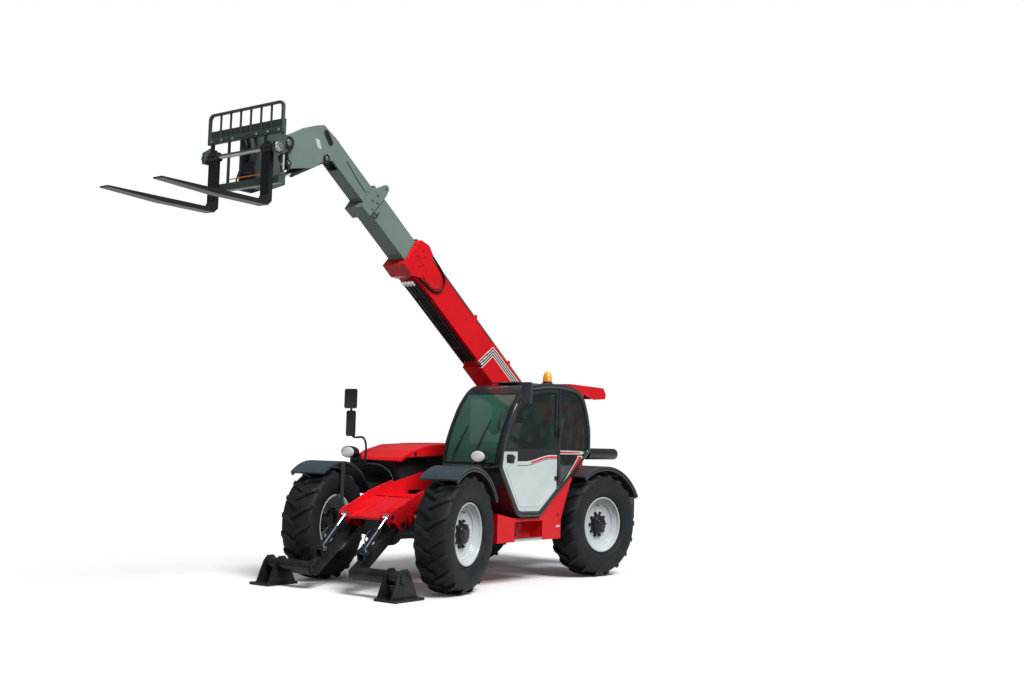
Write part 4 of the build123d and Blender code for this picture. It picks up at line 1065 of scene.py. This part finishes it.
class TELEHANDLER_OT_lamps(DressingOperator, bpy.types.Operator):
    """Shape the headlamps, markers and mirrors"""

    bl_idname = "telehandler.lamps"
    bl_label = "Lamps and mirrors"

    def make(self, scene):
        self.headlamps(0.065)
        self.markers()
        self.mirrors()

    def headlamps(self, r):
        """Two lamps that look forward, wider than they are high."""
        shell = [
            (-0.072, 0.0), (-0.070, 0.022), (-0.058, 0.042), (-0.035, 0.058), (0.0, r + 0.001),
            (0.045, r + 0.003), (0.056, r + 0.002), (0.058, r - 0.004), (0.053, r - 0.007),
            (0.052, r - 0.012), (0.051, 0.0),
        ]
        dish = [(0.0515, 0.0), (0.0515, r - 0.012), (0.0535, r - 0.0085)]
        pane = [(0.0535, r - 0.007), (0.060, r - 0.009), (0.066, r * 0.6), (0.069, r * 0.3)]
        pane.append((0.070, 0.0))
        housing, glass, bowl = Shape(), Shape(), Shape()
        for x, y, z in ((2.29, -0.955, 1.42), (2.12, 0.82, 1.42)):
            place = front_view(x, y, z) @ Matrix.Diagonal((1.62, 1.0, 1.0, 1.0))
            housing.lathe(shell, place, 48)
            bowl.lathe(dish, place, 48)
            for rib in (0.018, 0.034):
                bowl.closed_lathe(rectangle(0.0515, rib, 0.0535, rib + 0.003), place, 48)
            glass.lathe(pane, place, 48)
        housing.box((2.236, -1.0, 1.2985), (2.262, -0.85, 1.325), 0.004)
        housing.box((2.06, 0.80, 1.30), (2.09, 0.84, 1.40), 0.005)
        housing.piece("lamp_housings", "chassis", "black_trim")
        bowl.piece("lamp_bowls", "chassis", "black_trim", "zinc")
        glass.piece("lamp_glasses", "chassis", "black_trim", "lens", 60)

    def markers(self):
        """Small lamp box on the nose's left cheek, with its amber and red faces."""
        for name, low, high, bevel, finish in (
            ("marker_box", (2.61, 0.37, 0.673), (2.775, 0.395, 0.79), 0.006, "red"),
            ("marker_amber", (2.63, 0.392, 0.745), (2.70, 0.401, 0.777), 0.004, "amber"),
            ("marker_red", (2.71, 0.392, 0.70), (2.757, 0.401, 0.777), 0.004, "lens_red"),
        ):
            Shape().box(low, high, bevel).piece(name, "chassis", "red", finish)

    def mirrors(self):
        """Two mirrors on a bent arm on the right, and one on a bracket on the left."""
        x = 2.249
        frames, plates, glass = Shape(), Shape(), Shape()
        view = front_view(x, 0, 0)
        for y0, y1, z0, z1, thick in (
            (-1.13, -0.94, 1.925, 2.155, 0.026), (-1.085, -0.955, 1.60, 1.90, 0.034),
        ):
            half, rim = thick / 2, 0.01
            frames.panel((y0, z0, y1, z1), 0.024, -half, half, view, 0.006, 3)
            inner = (y0 + rim, z0 + rim, y1 - rim, z1 - rim)
            glass.panel(inner, 0.018, -half - 0.0015, -half + 0.001, view)
        frames.rod(at(x, -1.02, 1.89), at(x, -1.02, 1.935), 0.014, 16)
        frames.box((2.236, -0.885, 1.2985), (2.262, -0.755, 1.32), 0.004)
        right = frames.piece("mirror_right", "chassis", "black_trim")
        stalk = (
            (-1.0, 1.68), (-1.0, 1.60), (-0.93, 1.585), (-0.82, 1.60), (-0.77, 1.54),
            (-0.76, 1.42), (-0.775, 1.30),
        )
        stalk = [at(x, y, z) for y, z in stalk]
        arm = hoses("mirror_arm", [stalk], 0.0125, "chassis", "black_trim", "black_trim")
        view = front_view(1.68, 0, 0)
        plates.panel((1.03, 2.005, 1.165, 2.25), 0.022, -0.014, 0.016, view, 0.007, 3)
        glass.panel((1.042, 2.017, 1.153, 2.238), 0.016, -0.0155, -0.012, view)
        left = plates.piece("mirror_left", "chassis", "black_trim", "fender")
        glass.piece("mirror_glasses", "chassis", "black_trim", "mirror")
        bracket = path((1.70, 0.96, 2.0), (1.685, 1.02, 2.06), (1.68, 1.06, 2.12), (1.68, 1.09, 2.14))
        hoses("mirror_bracket", [bracket], 0.011, "chassis", "black_trim", "black_trim")
        for piece in (right, arm, left):
            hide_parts("mirrors")


class TELEHANDLER_OT_hood_trim(DressingOperator, bpy.types.Operator):
    """Add the hood's seal, latch, louvres, creases and the lamp's lead beside it"""

    bl_idname = "telehandler.hood_trim"
    bl_label = "Hood trim"

    def make(self, scene):
        edge = path((2.185, -1.0, 1.325), (2.185, -0.38, 1.325), (2.10, -0.372, 1.3755))
        hoses("hood_seal", [edge + path((0.49, -0.372, 1.4405))], 0.008, "chassis", "hood_black")
        louvres = Shape()
        for k in range(7):
            t = 0.12 + 0.76 * k / 6
            x, z = 2.03 + 0.12 * t, 1.06 + 0.14 * t
            louvres.box((x - 0.004, -0.93, z - 0.006), (x + 0.012, -0.45, z + 0.002), 0.0015)
        for k in range(9):
            x = 1.1 + 0.055 * k
            louvres.box((x, -0.3735, 1.12), (x + 0.02, -0.366, 1.27), 0.002)
        louvres.piece("hood_louvres", "chassis", "hood_black", "black_trim")
        panel = Shape()
        for x in (0.80, 1.60, 1.93):
            for z in (0.98, 1.33):
                panel.bolt(at(x, -0.372, z), LEFT, 0.009, 0.006)
        panel.piece("hood_bolts", "chassis", "hood_black", "zinc")
        latch = Shape().box((1.93, -0.271, 1.395), (1.965, -0.262, 1.44), 0.003)
        latch.pin(1.948, 1.43, -0.268, -0.254, 0.012, 20)
        latch.piece("hood_latch", "hood_lid", "red", "black_trim")
        lead = path(
            (2.24, -0.79, 1.29), (2.235, -0.60, 1.295), (2.215, -0.47, 1.25), (2.19, -0.39, 1.16),
            (2.18, -0.378, 1.07),
        )
        hoses("lamp_lead", [lead], 0.008, "chassis", "black_trim", "fender")
        crease = ((2.02, 1, 1.4405), (1.72, 0.98, 1.5165), (1.2, 0.97, 1.5415), (0.5, 0.97, 1.5415))
        lines = [[at(x, y * share, z) for x, share, z in crease] for y in (-0.93, -0.36)]
        hoses("hood_creases", lines, 0.006, "hood_lid", "red", "red")


class TELEHANDLER_OT_boom_trim(DressingOperator, bpy.types.Operator):
    """Add the pipe, side pocket, hoses, tray and fasteners of the boom"""

    bl_idname = "telehandler.boom_trim"
    bl_label = "Boom trim"

    def make(self, scene):
        trim = scene.telehandler_trim
        pipe = [on_boom(s, 0.105, 0.165) for s in (-1.34, -0.4, 0.4, 0.80, 0.86)]
        pipe += [on_boom(0.93, 0.105, 0.16), on_boom(1.03, 0.105, 0.158)]
        hoses("boom_pipe", [pipe], trim.pipe, "boom_outer", "red", "boom_pale")
        # A thin black hose along the pipe's lower edge: a painted shadow under the pipe.
        shadow_line = [on_boom(s, 0.121, 0.1485) for s in (-1.34, 0.2, 0.80, 0.86)]
        hoses("boom_pipe_shadow_hose", [shadow_line], 0.008, "boom_outer", "red", "black_trim")
        clips = Shape()
        for s in (-0.832, 0.004):
            foot, head = 0.028, 0.022
            outline = [(s - foot, 0.133), (s + foot, 0.133), (s + head, 0.198), (s - head, 0.198)]
            clips.slab(rounded_outline(outline, 0.018), 0.118, 0.130, BOOM_VIEW, 0.002)
            clips.slab(rectangle(s - foot, 0.133, s + foot, 0.142), 0.04, 0.13, BOOM_VIEW, 0.001)
        clips.piece("pipe_clips", "boom_outer", "red")
        pocket = [
            (1.03, -0.142), (1.03, 0.128), (0.80, 0.112), (0.708, 0.04), (0.708, -0.035),
            (0.80, -0.125),
        ]
        plate = Shape().slab(rounded_outline(pocket, 0.06, 8), 0.130, 0.141, BOOM_VIEW, 0.003)
        plate.piece("side_pocket", "boom_outer", "red")
        loop = (
            (1.04, -0.185), (0.93, -0.168), (0.80, -0.150), (0.70, -0.085), (0.672, 0.005),
            (0.70, 0.09), (0.79, 0.135), (0.92, 0.150), (1.03, 0.156),
        )
        lines = [[on_boom(s, 0.146, up) for s, up in loop]]
        hoses("pocket_hose", lines, trim.hose, "boom_outer", "red")
        self.tray(trim)
        self.fasteners()

    def tray(self, trim):
        """Hoses in a black tray under the outer section, with their couplings at its front end."""
        floor = [(-0.36, -0.2055), (0.99, -0.2055), (0.96, -0.226), (-0.33, -0.226)]
        tray = Shape().slab(floor, -0.085, 0.07, BOOM_VIEW, 0.004)
        for s in (-0.1, 0.32, 0.74):
            tray.slab(rectangle(s, -0.204, s + 0.03, -0.236), -0.095, 0.08, BOOM_VIEW, 0.003)
        tray.piece("hose_tray", "boom_outer", "red", "black_trim")
        lines, ends = [], Shape()
        route = (
            (1.06, 0.0, -0.250), (0.98, 0.0, -0.249), (0.80, 0.006, -0.243), (0.3, 0.0, -0.238),
            (-0.34, 0.0, -0.232),
        )
        for k in range(4):
            y = 0.075 - 0.047 * k
            lines.append([on_boom(s, y + dy, up) for s, dy, up in route])
            tail, middle, head = [on_boom(s, y, -0.250) for s in (1.0, 1.03, 1.075)]
            ends.rod(middle, head, 0.017, 6, 0.002).rod(tail, middle, 0.014, 20, 0.002)
        hoses("tray_hoses", lines, trim.hose, "boom_outer", "red")
        ends.piece("hose_couplings", "boom_outer", "red", "zinc")

    def fasteners(self):
        """Bolts and rollers of the collars, and the hook of the middle section."""
        side = BOOM.to_3x3() @ Vector(LEFT)
        red, dark, pale = Shape(), Shape(), Shape()
        for s, up in ((1.20, 0.085), (1.135, 0.06), (1.235, -0.02), (1.15, -0.10), (1.115, -0.045)):
            red.bolt(on_boom(s, 0.158, up), side, 0.011, 0.007)
        red.piece("collar_bolts", "boom_outer", "red")
        for s in (1.10, 1.24):
            dark.rod(on_boom(s, 0.05, 0.178), on_boom(s, 0.11, 0.178), 0.014, 16, 0.003)
        dark.piece("collar_rollers", "boom_outer", "red", "black_trim")
        for s, up in ((2.093, 0.048), (2.116, -0.051), (2.047, -0.019), (2.062, -0.126)):
            pale.bolt(on_boom(s, 0.129, up), side, 0.015, 0.01)
        pale.rod(on_boom(2.045, 0.125, 0.212), on_boom(2.045, 0.14, 0.212), 0.022, 24, 0.003)
        pale.piece("middle_bolts", "boom_middle", "boom_pale")
        hook = ((2.02, -0.135), (1.985, -0.155), (1.955, -0.12), (1.96, -0.085))
        hook = [on_boom(s, 0.128, up) for s, up in hook]
        hoses("middle_hook", [hook], 0.008, "boom_middle", "boom_pale", "black_trim")


class TELEHANDLER_OT_head_trim(DressingOperator, bpy.types.Operator):
    """Add the slot, bosses and labels of the boom's head"""

    bl_idname = "telehandler.head_trim"
    bl_label = "Head trim"

    def make(self, scene):
        self.slot()
        boss, pins = Shape(), Shape()
        for x, z, r, y in (
            (4.455, 4.470, 0.062, 0.123), (4.422, 4.271, 0.034, 0.0905), (3.905, 4.425, 0.045, 0.0905),
        ):
            cup = [
                (0, 0), (0, r), (0.012, r), (0.017, r - 0.006), (0.017, r * 0.62),
                (0.008, r * 0.58), (0.008, 0),
            ]
            boss.lathe(cup, side_view(x, y, z), 40)
            pins.pin(x, z, y + 0.006, y + 0.020, r * 0.5)
            pins.bolt(at(x, y + 0.020, z), LEFT, r * 0.16, 0.006)
        boss.piece("head_bosses", "boom_inner", "boom_pale", "black_trim")
        pins.piece("head_pin_caps", "boom_inner", "pin")
        labels = Shape()
        for corners in (
            [(4.068, 4.605), (4.008, 4.598), (3.972, 4.505), (4.03, 4.512)],
            [(4.40, 4.52), (4.352, 4.505), (4.362, 4.47), (4.408, 4.483)],
        ):
            labels.slab(rounded_outline(corners, 0.006), 0.0895, 0.0912)
        labels.piece("head_labels", "boom_inner", "boom_pale", "label")
        seam = path((3.60, 0.0855, 4.462), (3.45, 0.0855, 4.30), (3.30, 0.0855, 4.185))
        hoses("head_seam", [seam], 0.004, "boom_inner", "boom_pale", "black_trim")

    def slot(self):
        """A black plate shaped as a long hole with round ends, painted shade for the hole, and the edge that
        stands round it.
        """
        mid, half, wide = Vector((3.884, 4.648)), 0.052, 0.036
        way = (Vector((3.845, 4.597)) - Vector((3.922, 4.700))).normalized()
        across = way.orthogonal()
        # the black plate stands in for the hole: painted shade
        for reach, w, name, finish in (
            (wide, 0.0918, "head_slot", "black_trim"), (wide + 0.009, 0.0908, "head_slot_edge", None),
        ):
            outline = []
            for k in range(32):
                angle = math.tau * k / 32
                end = half if math.cos(angle) > 0 else -half
                point = mid + way * (end + reach * math.cos(angle)) + across * reach * math.sin(angle)
                outline.append((point.x, point.y))
            slot = Shape().slab(outline, 0.0885, w, bevel=0.0006)
            slot.piece(name, "boom_inner", "boom_pale", finish)


class TELEHANDLER_OT_carriage_trim(DressingOperator, bpy.types.Operator):
    """Shape the backrest and add the carriage's shaft nuts, hoses, latches and label"""

    bl_idname = "telehandler.carriage_trim"
    bl_label = "Carriage trim"

    def make(self, scene):
        self.backrest()
        self.shaft()
        self.hoses(scene.telehandler_trim)
        self.forks()

    def backrest(self):
        """A bent frame with upright bars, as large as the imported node."""
        (x0, y0, z0), (x1, y1, z1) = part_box("backrest")
        view = axes((0, 0, 0), LEFT, UP, AHEAD)
        outer = rounded_outline(rectangle(y0, z0, y1, z1), [0.008, 0.008, 0.062, 0.062], 8)
        inner = rectangle(y0 + 0.028, z0 + 0.06, y1 - 0.028, z1 - 0.026)
        inner = rounded_outline(inner, [0.004, 0.004, 0.042, 0.042], 8)
        rest = Shape().ring(outer, inner, x0, x1, view, 0.004)
        step = (y1 - y0 - 0.06) / 7
        for k in range(1, 7):
            y = y0 + 0.03 + k * step
            bar = rectangle(y - 0.008, z0 + 0.05, y + 0.008, z1 - 0.02)
            rest.slab(bar, x0 + 0.006, x1 - 0.006, view, 0.002)
        made = rest.piece("backrest_frame", "carriage", "carriage")
        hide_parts("backrest")

    def shaft(self):
        """Nuts of the fork shaft, the carriage's bolts and its blank label."""
        nuts, bolts = Shape(), Shape()
        for _, side in SIDES:
            nuts.pin(*SHAFT, side * 0.521, side * 0.53, 0.047, 32)
            nuts.pin(*SHAFT, side * 0.529, side * 0.5525, 0.04, 6, 0.004)
            for y in (0.17, 0.33, 0.48):
                bolts.bolt(at(4.9205, side * y, 4.45), AHEAD, 0.012, 0.009)
            for z in (4.03, 4.12, 4.40):
                bolts.bolt(at(4.89, side * 0.505, z), AHEAD, 0.010, 0.008)
            bolts.pin(4.53, 4.09, side * 0.129, side * 0.139, 0.036, 32)
        nuts.piece("shaft_nuts", "carriage", "pin", "zinc")
        bolts.piece("carriage_bolts", "carriage", "carriage", "pin")
        label = Shape().panel((4.866, 4.07, 4.884, 4.21), 0.002, 0.5195, 0.521)
        label.piece("carriage_label", "carriage", "carriage", "label")

    def hoses(self, trim):
        """Three hoses down the middle of the carriage, a lead and the valve that they feed."""
        route = (
            (4.86, 1, 4.50), (4.80, 1, 4.42), (4.80, 1.5, 4.25), (4.86, 2.2, 4.12), (4.875, 2.4, 4.0),
        )
        lines = [[at(x, y * share, z) for x, share, z in route] for y in (-0.06, -0.035, 0.04)]
        hoses("carriage_hoses", lines, trim.hose * 0.8, "carriage", "carriage")
        lead = path((4.878, -0.225, 4.055), (4.882, 0.0, 4.062), (4.878, 0.225, 4.055))
        hoses("carriage_lead", [lead], 0.006, "carriage", "carriage", "amber")
        block = Shape().box((4.79, -0.10, 4.09), (4.858, 0.10, 4.20), 0.006)
        for y in (-0.06, 0.0, 0.06):
            block.rod(at(4.856, y, 4.145), at(4.868, y, 4.145), 0.018, 20, 0.003)
        block.piece("carriage_valve", "carriage", "carriage", "black_trim")

    def forks(self):
        """Collars of the forks on their shaft, with a latch on each."""
        for name, side in SIDES:
            collar, y = Shape(), side * 0.38
            for shift in (-0.064, 0.052):
                place = side_view(SHAFT[0], y + shift, SHAFT[1])
                collar.closed_lathe([(0, 0.026), (0, 0.046), (0.012, 0.046), (0.012, 0.026)], place, 32)
            latch = [(4.93, 4.318), (4.97, 4.318), (4.965, 4.345), (4.935, 4.345)]
            collar.slab(rounded_outline(latch, 0.006), y - 0.02, y + 0.02, bevel=0.003)
            collar.piece("fork_collar_" + name, "fork_" + name, "fork")


# Stabiliser: the pins at the two ends of its cylinder as (forward, up), and its side offset.
LEG_PIN, NOSE_PIN, CYLINDER_SIDE = (3.37, 0.42), (3.02, 0.77), 0.3


class TELEHANDLER_OT_stabiliser_trim(DressingOperator, bpy.types.Operator):
    """Add the stabilisers' tube caps, pins, glands, hose plates and hoses"""

    bl_idname = "telehandler.stabiliser_trim"
    bl_label = "Stabiliser trim"

    def make(self, scene):
        foot, eye = [Vector((x, 0, z)) for x, z in (LEG_PIN, NOSE_PIN)]
        way = (eye - foot).normalized()
        for name, side in SIDES:
            self.barrel(name, side, way)
            self.tube_cap(name, side)
            self.pins(name, side)
            self.plate(name, side, way)

    def barrel(self, name, side, way):
        """Glands at both ends of the barrel, and the pipe between its two couplings."""
        body, normal = "stabiliser_barrel_" + name, Vector((way.z, 0, -way.x))

        def spot(along, out=0.0):
            return at(LEG_PIN[0], side * CYLINDER_SIDE, LEG_PIN[1]) + way * along + normal * out

        gland = Shape()
        gland.rod(spot(0.283), spot(0.309), 0.0395, 32, 0.004)
        gland.rod(spot(0.045), spot(0.075), 0.0375, 32, 0.004)
        for along in (0.095, 0.265):
            gland.rod(spot(along, 0.03), spot(along, 0.056), 0.013, 6, 0.002)
        gland.piece("stabiliser_gland_" + name, body, "cylinder")
        route = ((0.095, 0.054), (0.10, 0.085), (0.17, 0.092), (0.25, 0.085), (0.265, 0.054))
        line = [spot(*point) for point in route]
        hoses("stabiliser_pipe_" + name, [line], 0.0065, body, "cylinder", "cylinder")

    def tube_cap(self, name, side):
        """Bolted cap on the outer end of the cross tube."""
        place = axes(at(3.47, side * 0.9665, 0.215), AHEAD, UP, (0, side, 0))
        rim = [
            (0, 0), (0, 0.066), (0.010, 0.066), (0.014, 0.060), (0.014, 0.03), (0.009, 0.026),
            (0.009, 0),
        ]
        cap = Shape().lathe(rim, place, 48)
        for spot in circle(4, 0.047, 0.047, 0.013, 0.5):
            cap.bolt(place @ spot, (0, side, 0), 0.008, 0.006)
        cap.piece("tube_cap_" + name, "stabiliser_foot_" + name, "stabiliser")

    def pins(self, name, side):
        """Pins in the nose, and the ends of the foot's pin."""
        pins, ends = Shape(), Shape()
        for x, z, radius in ((2.85, 0.69, 0.033), (*NOSE_PIN, 0.026)):
            pins.pin(x, z, side * 0.367, side * 0.379, radius)
            pins.bolt(at(x, side * 0.379, z), (0, side, 0), 0.010, 0.007)
        pins.piece("nose_pins_" + name, "chassis", "pin", "black_trim")
        for out in (-1, 1):
            face = side * CYLINDER_SIDE + out * 0.052
            ends.pin(*LEG_PIN, face, face + out * 0.008, 0.027, 24, 0.002)
        ends.piece("foot_pin_ends_" + name, "stabiliser_leg_" + name, "pin")

    def plate(self, name, side, way):
        """Bracket with four couplings on the machine's right side of the leg."""
        leg = "stabiliser_leg_" + name
        corner = at(3.245, side * CYLINDER_SIDE - 0.106, 0.43)
        place = axes(corner, LEFT, way, (way.z, 0, -way.x))
        plate = Shape().panel((-0.056, -0.075, 0.056, 0.075), 0.01, 0.0, 0.010, place, 0.002)
        plate.slab(rectangle(0.03, -0.06, 0.05, 0.06), -0.05, 0.002, place, 0.002)
        plate.piece("hose_plate_" + name, leg, "stabiliser")
        ends = Shape()
        for u in (-0.026, 0.012):
            for v in (-0.03, 0.03):
                low, high = [place @ Vector((u, v, w)) for w in (0.009, 0.022)]
                ends.rod(low, high, 0.0115, 6, 0.002)
        ends.piece("hose_plate_ends_" + name, leg, "stabiliser", "zinc")


class TELEHANDLER_OT_nose_trim(DressingOperator, bpy.types.Operator):
    """Add the ribs of the nose, the step, side labels and fender edges"""

    bl_idname = "telehandler.nose_trim"
    bl_label = "Nose and chassis trim"

    def make(self, scene):
        self.nose()
        self.step()
        self.fenders()

    def nose(self):
        ribs, bolts = Shape(), Shape()
        line = [(2.10, 0.958), (2.545, 0.948), (2.862, 0.812), (3.03, 0.748)]
        top = [(x + 0.003, z + 0.014) for x, z in reversed(line)]
        for y in (-0.13, 0.13):
            ribs.slab(line + top, y - 0.006, y + 0.006, bevel=0.002)
        ribs.box((2.54, -0.30, 0.945), (2.556, 0.30, 0.961), 0.003)
        ribs.piece("nose_ribs", "chassis", "red")
        edge = ((2.24, 1.1025), (2.585, 1.013), (2.893, 0.857), (3.03, 0.815))
        edges = [[at(x, side * 0.356, z + 0.004) for x, z in edge] for _, side in SIDES]
        hoses("nose_edges", edges, 0.011, "chassis", "red", "red")
        for _, side in SIDES:
            for x, z in ((2.12, 1.06), (2.42, 0.98), (2.70, 0.86), (2.46, 0.92)):
                bolts.bolt(at(x, side * 0.368, z), (0, side, 0), 0.011, 0.008)
        bolts.piece("nose_bolts", "chassis", "red")

    def step(self):
        """Tread of the step with its cleats, and the label, bolts and cover of the side tank."""
        tread = Shape().box((1.12, 0.80, 0.4935), (1.64, 0.9495, 0.506), 0.003)
        for k in range(12):
            x = 1.15 + 0.042 * k
            tread.box((x, 0.82, 0.505), (x + 0.014, 0.94, 0.5085), 0.001)
        tread.box((1.115, 0.948, 0.4805), (1.645, 0.957, 0.517), 0.003)
        tread.piece("step_tread", "chassis", "red", "zinc")
        marks = Shape().panel((0.835, 0.612, 0.755, 0.634), 0.004, 0.9495, 0.951)
        marks.piece("side_label", "chassis", "red", "label")
        dark = Shape().pin(0.80, 0.754, 0.949, 0.952, 0.015, 24, 0.001)
        for x in (1.466, 1.62):
            dark.bolt(at(x, 0.95, 0.56), LEFT, 0.012, 0.008)
        dark.piece("side_bolts", "chassis", "red", "black_trim")
        cover = Shape().panel((1.22, 0.612, 1.38, 0.70), 0.016, 0.785, 0.795, bevel=0.002)
        cover.piece("tank_cover", "chassis", "red")

    def fenders(self):
        """Rubber lip round the outer edge of each fender."""
        for corner in CORNERS:
            place, row = wheel_place(corner), []
            for k in range(25):
                angle = math.radians(56 + 95 * k / 24)
                row.append(place @ Vector((math.cos(angle) * 0.672, math.sin(angle) * 0.672, 0.205)))
            hoses("fender_lip_" + corner, [row], 0.007, "knuckle_" + corner, "fender")


class TELEHANDLER_OT_stage(DressingOperator, bpy.types.Operator):
    """Set the floor, the light and the camera"""

    bl_idname = "telehandler.stage"
    bl_label = "Stage"

    def make(self, scene):
        settings = scene.telehandler_stage
        self.floor(scene)
        self.sky(scene, settings.sky)
        self.sun(scene, settings.sun)
        self.camera(scene, settings.lens)
        scene.view_settings.view_transform = "Standard"

    def add(self, scene, name, data):
        obj = bpy.data.objects.new(name, data)
        scene.collection.objects.link(obj)
        return obj

    def floor(self, scene):
        """A floor that is white to the lens and keeps the machine's shadow."""
        mesh = bpy.data.meshes.new("floor")
        reach, depth = 60, -0.0005
        corners = rectangle(-reach, -reach, reach, reach)
        mesh.from_pydata([(x, y, depth) for x, y in corners], [], [(0, 1, 2, 3)])
        floor = self.add(scene, "floor", mesh)
        material = bpy.data.materials.new("floor")
        tree = StageTree(material)
        dull = tree.node("ShaderNodeBsdfDiffuse", inputs={"Color": (0.2, 0.2, 0.2)})
        lit = tree.node("ShaderNodeBsdfDiffuse", inputs={"Color": (0.84, 0.84, 0.84)})
        glow = tree.node("ShaderNodeEmission", inputs={"Strength": 0.02})
        seen = tree.node("ShaderNodeAddShader", inputs={0: glow, 1: lit})
        rays = tree.node("ShaderNodeLightPath", output="Is Camera Ray")
        direct = rays.most(rays.sibling("Is Glossy Ray")).most(rays.sibling("Is Transmission Ray"))
        surface = tree.mix(direct, dull, seen)
        tree.node("ShaderNodeOutputMaterial", inputs={"Surface": surface})
        mesh.materials.append(material)

    def sky(self, scene, strength):
        """Pale sky, brighter overhead; white to the camera and even in reflections."""
        world = bpy.data.worlds.new("sky")
        scene.world = world
        tree = StageTree(world)
        up = tree.node("ShaderNodeTexCoord", output="Generated")
        up = tree.node("ShaderNodeSeparateXYZ", inputs={0: up}, output="Z")
        rise = {"Value": up, "From Max": 0.9, "To Min": strength * 0.3, "To Max": strength * 1.5}
        sky = tree.background((0.93, 0.97, 1.0), tree.node("ShaderNodeMapRange", inputs=rise))
        even = tree.background((0.9, 0.97, 1.0), strength * 0.5)
        white = tree.background((1, 1, 1), 1.0)
        rays = tree.node("ShaderNodeLightPath", output="Is Camera Ray")
        lit = tree.mix(rays.sibling("Is Glossy Ray"), sky, even)
        tree.node("ShaderNodeOutputWorld", inputs={"Surface": tree.mix(rays, lit, white)})

    def sun(self, scene, strength):
        """A broad key light from the machine's left and above."""
        light = bpy.data.lights.new("key", "SUN")
        light.energy = strength
        light.angle = math.radians(28)
        toward = Vector((0.12, 0.78, 1.0))
        self.add(scene, "key", light).rotation_euler = toward.to_track_quat("Z", "Y").to_euler()

    def camera(self, scene, focal_length):
        """Eye level, ahead of the machine and to its left."""
        lens = bpy.data.cameras.new("camera")
        lens.lens = focal_length
        lens.sensor_width = 36
        yaw, pitch, roll = 3.7791, 0.0819, 0.0269
        level = Vector((math.cos(yaw), math.sin(yaw), 0))
        look = level * math.cos(pitch) + Vector((0, 0, math.sin(pitch)))
        right = look.cross(Vector(UP)).normalized()
        up = right.cross(look)
        turned_right = right * math.cos(roll) + up * math.sin(roll)
        turned_up = up * math.cos(roll) - right * math.sin(roll)
        eye = self.add(scene, "camera", lens)
        eye.matrix_world = axes(at(12.541, 8.917, 1.597), turned_right, turned_up, -look)
        scene.camera = eye


PIECES = (
    TELEHANDLER_OT_finishes,
    TELEHANDLER_OT_tyres,
    TELEHANDLER_OT_rims,
    TELEHANDLER_OT_cab_frame,
    TELEHANDLER_OT_cab_trim,
    TELEHANDLER_OT_lamps,
    TELEHANDLER_OT_hood_trim,
    TELEHANDLER_OT_boom_trim,
    TELEHANDLER_OT_head_trim,
    TELEHANDLER_OT_carriage_trim,
    TELEHANDLER_OT_stabiliser_trim,
    TELEHANDLER_OT_nose_trim,
    TELEHANDLER_OT_stage,
)
GROUPS = {
    "telehandler_paints": PaintSettings,
    "telehandler_tyres": TyreSettings,
    "telehandler_trim": TrimSettings,
    "telehandler_stage": StageSettings,
}


class TELEHANDLER_PT_dressing(bpy.types.Panel):
    """Lists the pieces in the 3D view's sidebar"""

    bl_idname = "TELEHANDLER_PT_dressing"
    bl_label = "Telehandler"
    bl_space_type = "VIEW_3D"
    bl_region_type = "UI"
    bl_category = "Telehandler"

    def draw(self, context):
        for operator in PIECES:
            self.layout.operator(operator.bl_idname)
        for key, group in GROUPS.items():
            box = self.layout.box()
            for name in group.__annotations__:
                box.prop(getattr(context.scene, key), name)


def register():
    for kind in (*GROUPS.values(), *PIECES, TELEHANDLER_PT_dressing):
        bpy.utils.register_class(kind)
    for key, group in GROUPS.items():
        setattr(bpy.types.Scene, key, PointerProperty(type=group))


def unregister():
    for key in GROUPS:
        delattr(bpy.types.Scene, key)
    for kind in reversed((*GROUPS.values(), *PIECES, TELEHANDLER_PT_dressing)):
        bpy.utils.unregister_class(kind)


def main():
    register()
    for operator in PIECES:
        group, name = operator.bl_idname.split(".")
        getattr(getattr(bpy.ops, group), name)()


if __name__ == "__main__":
    main()
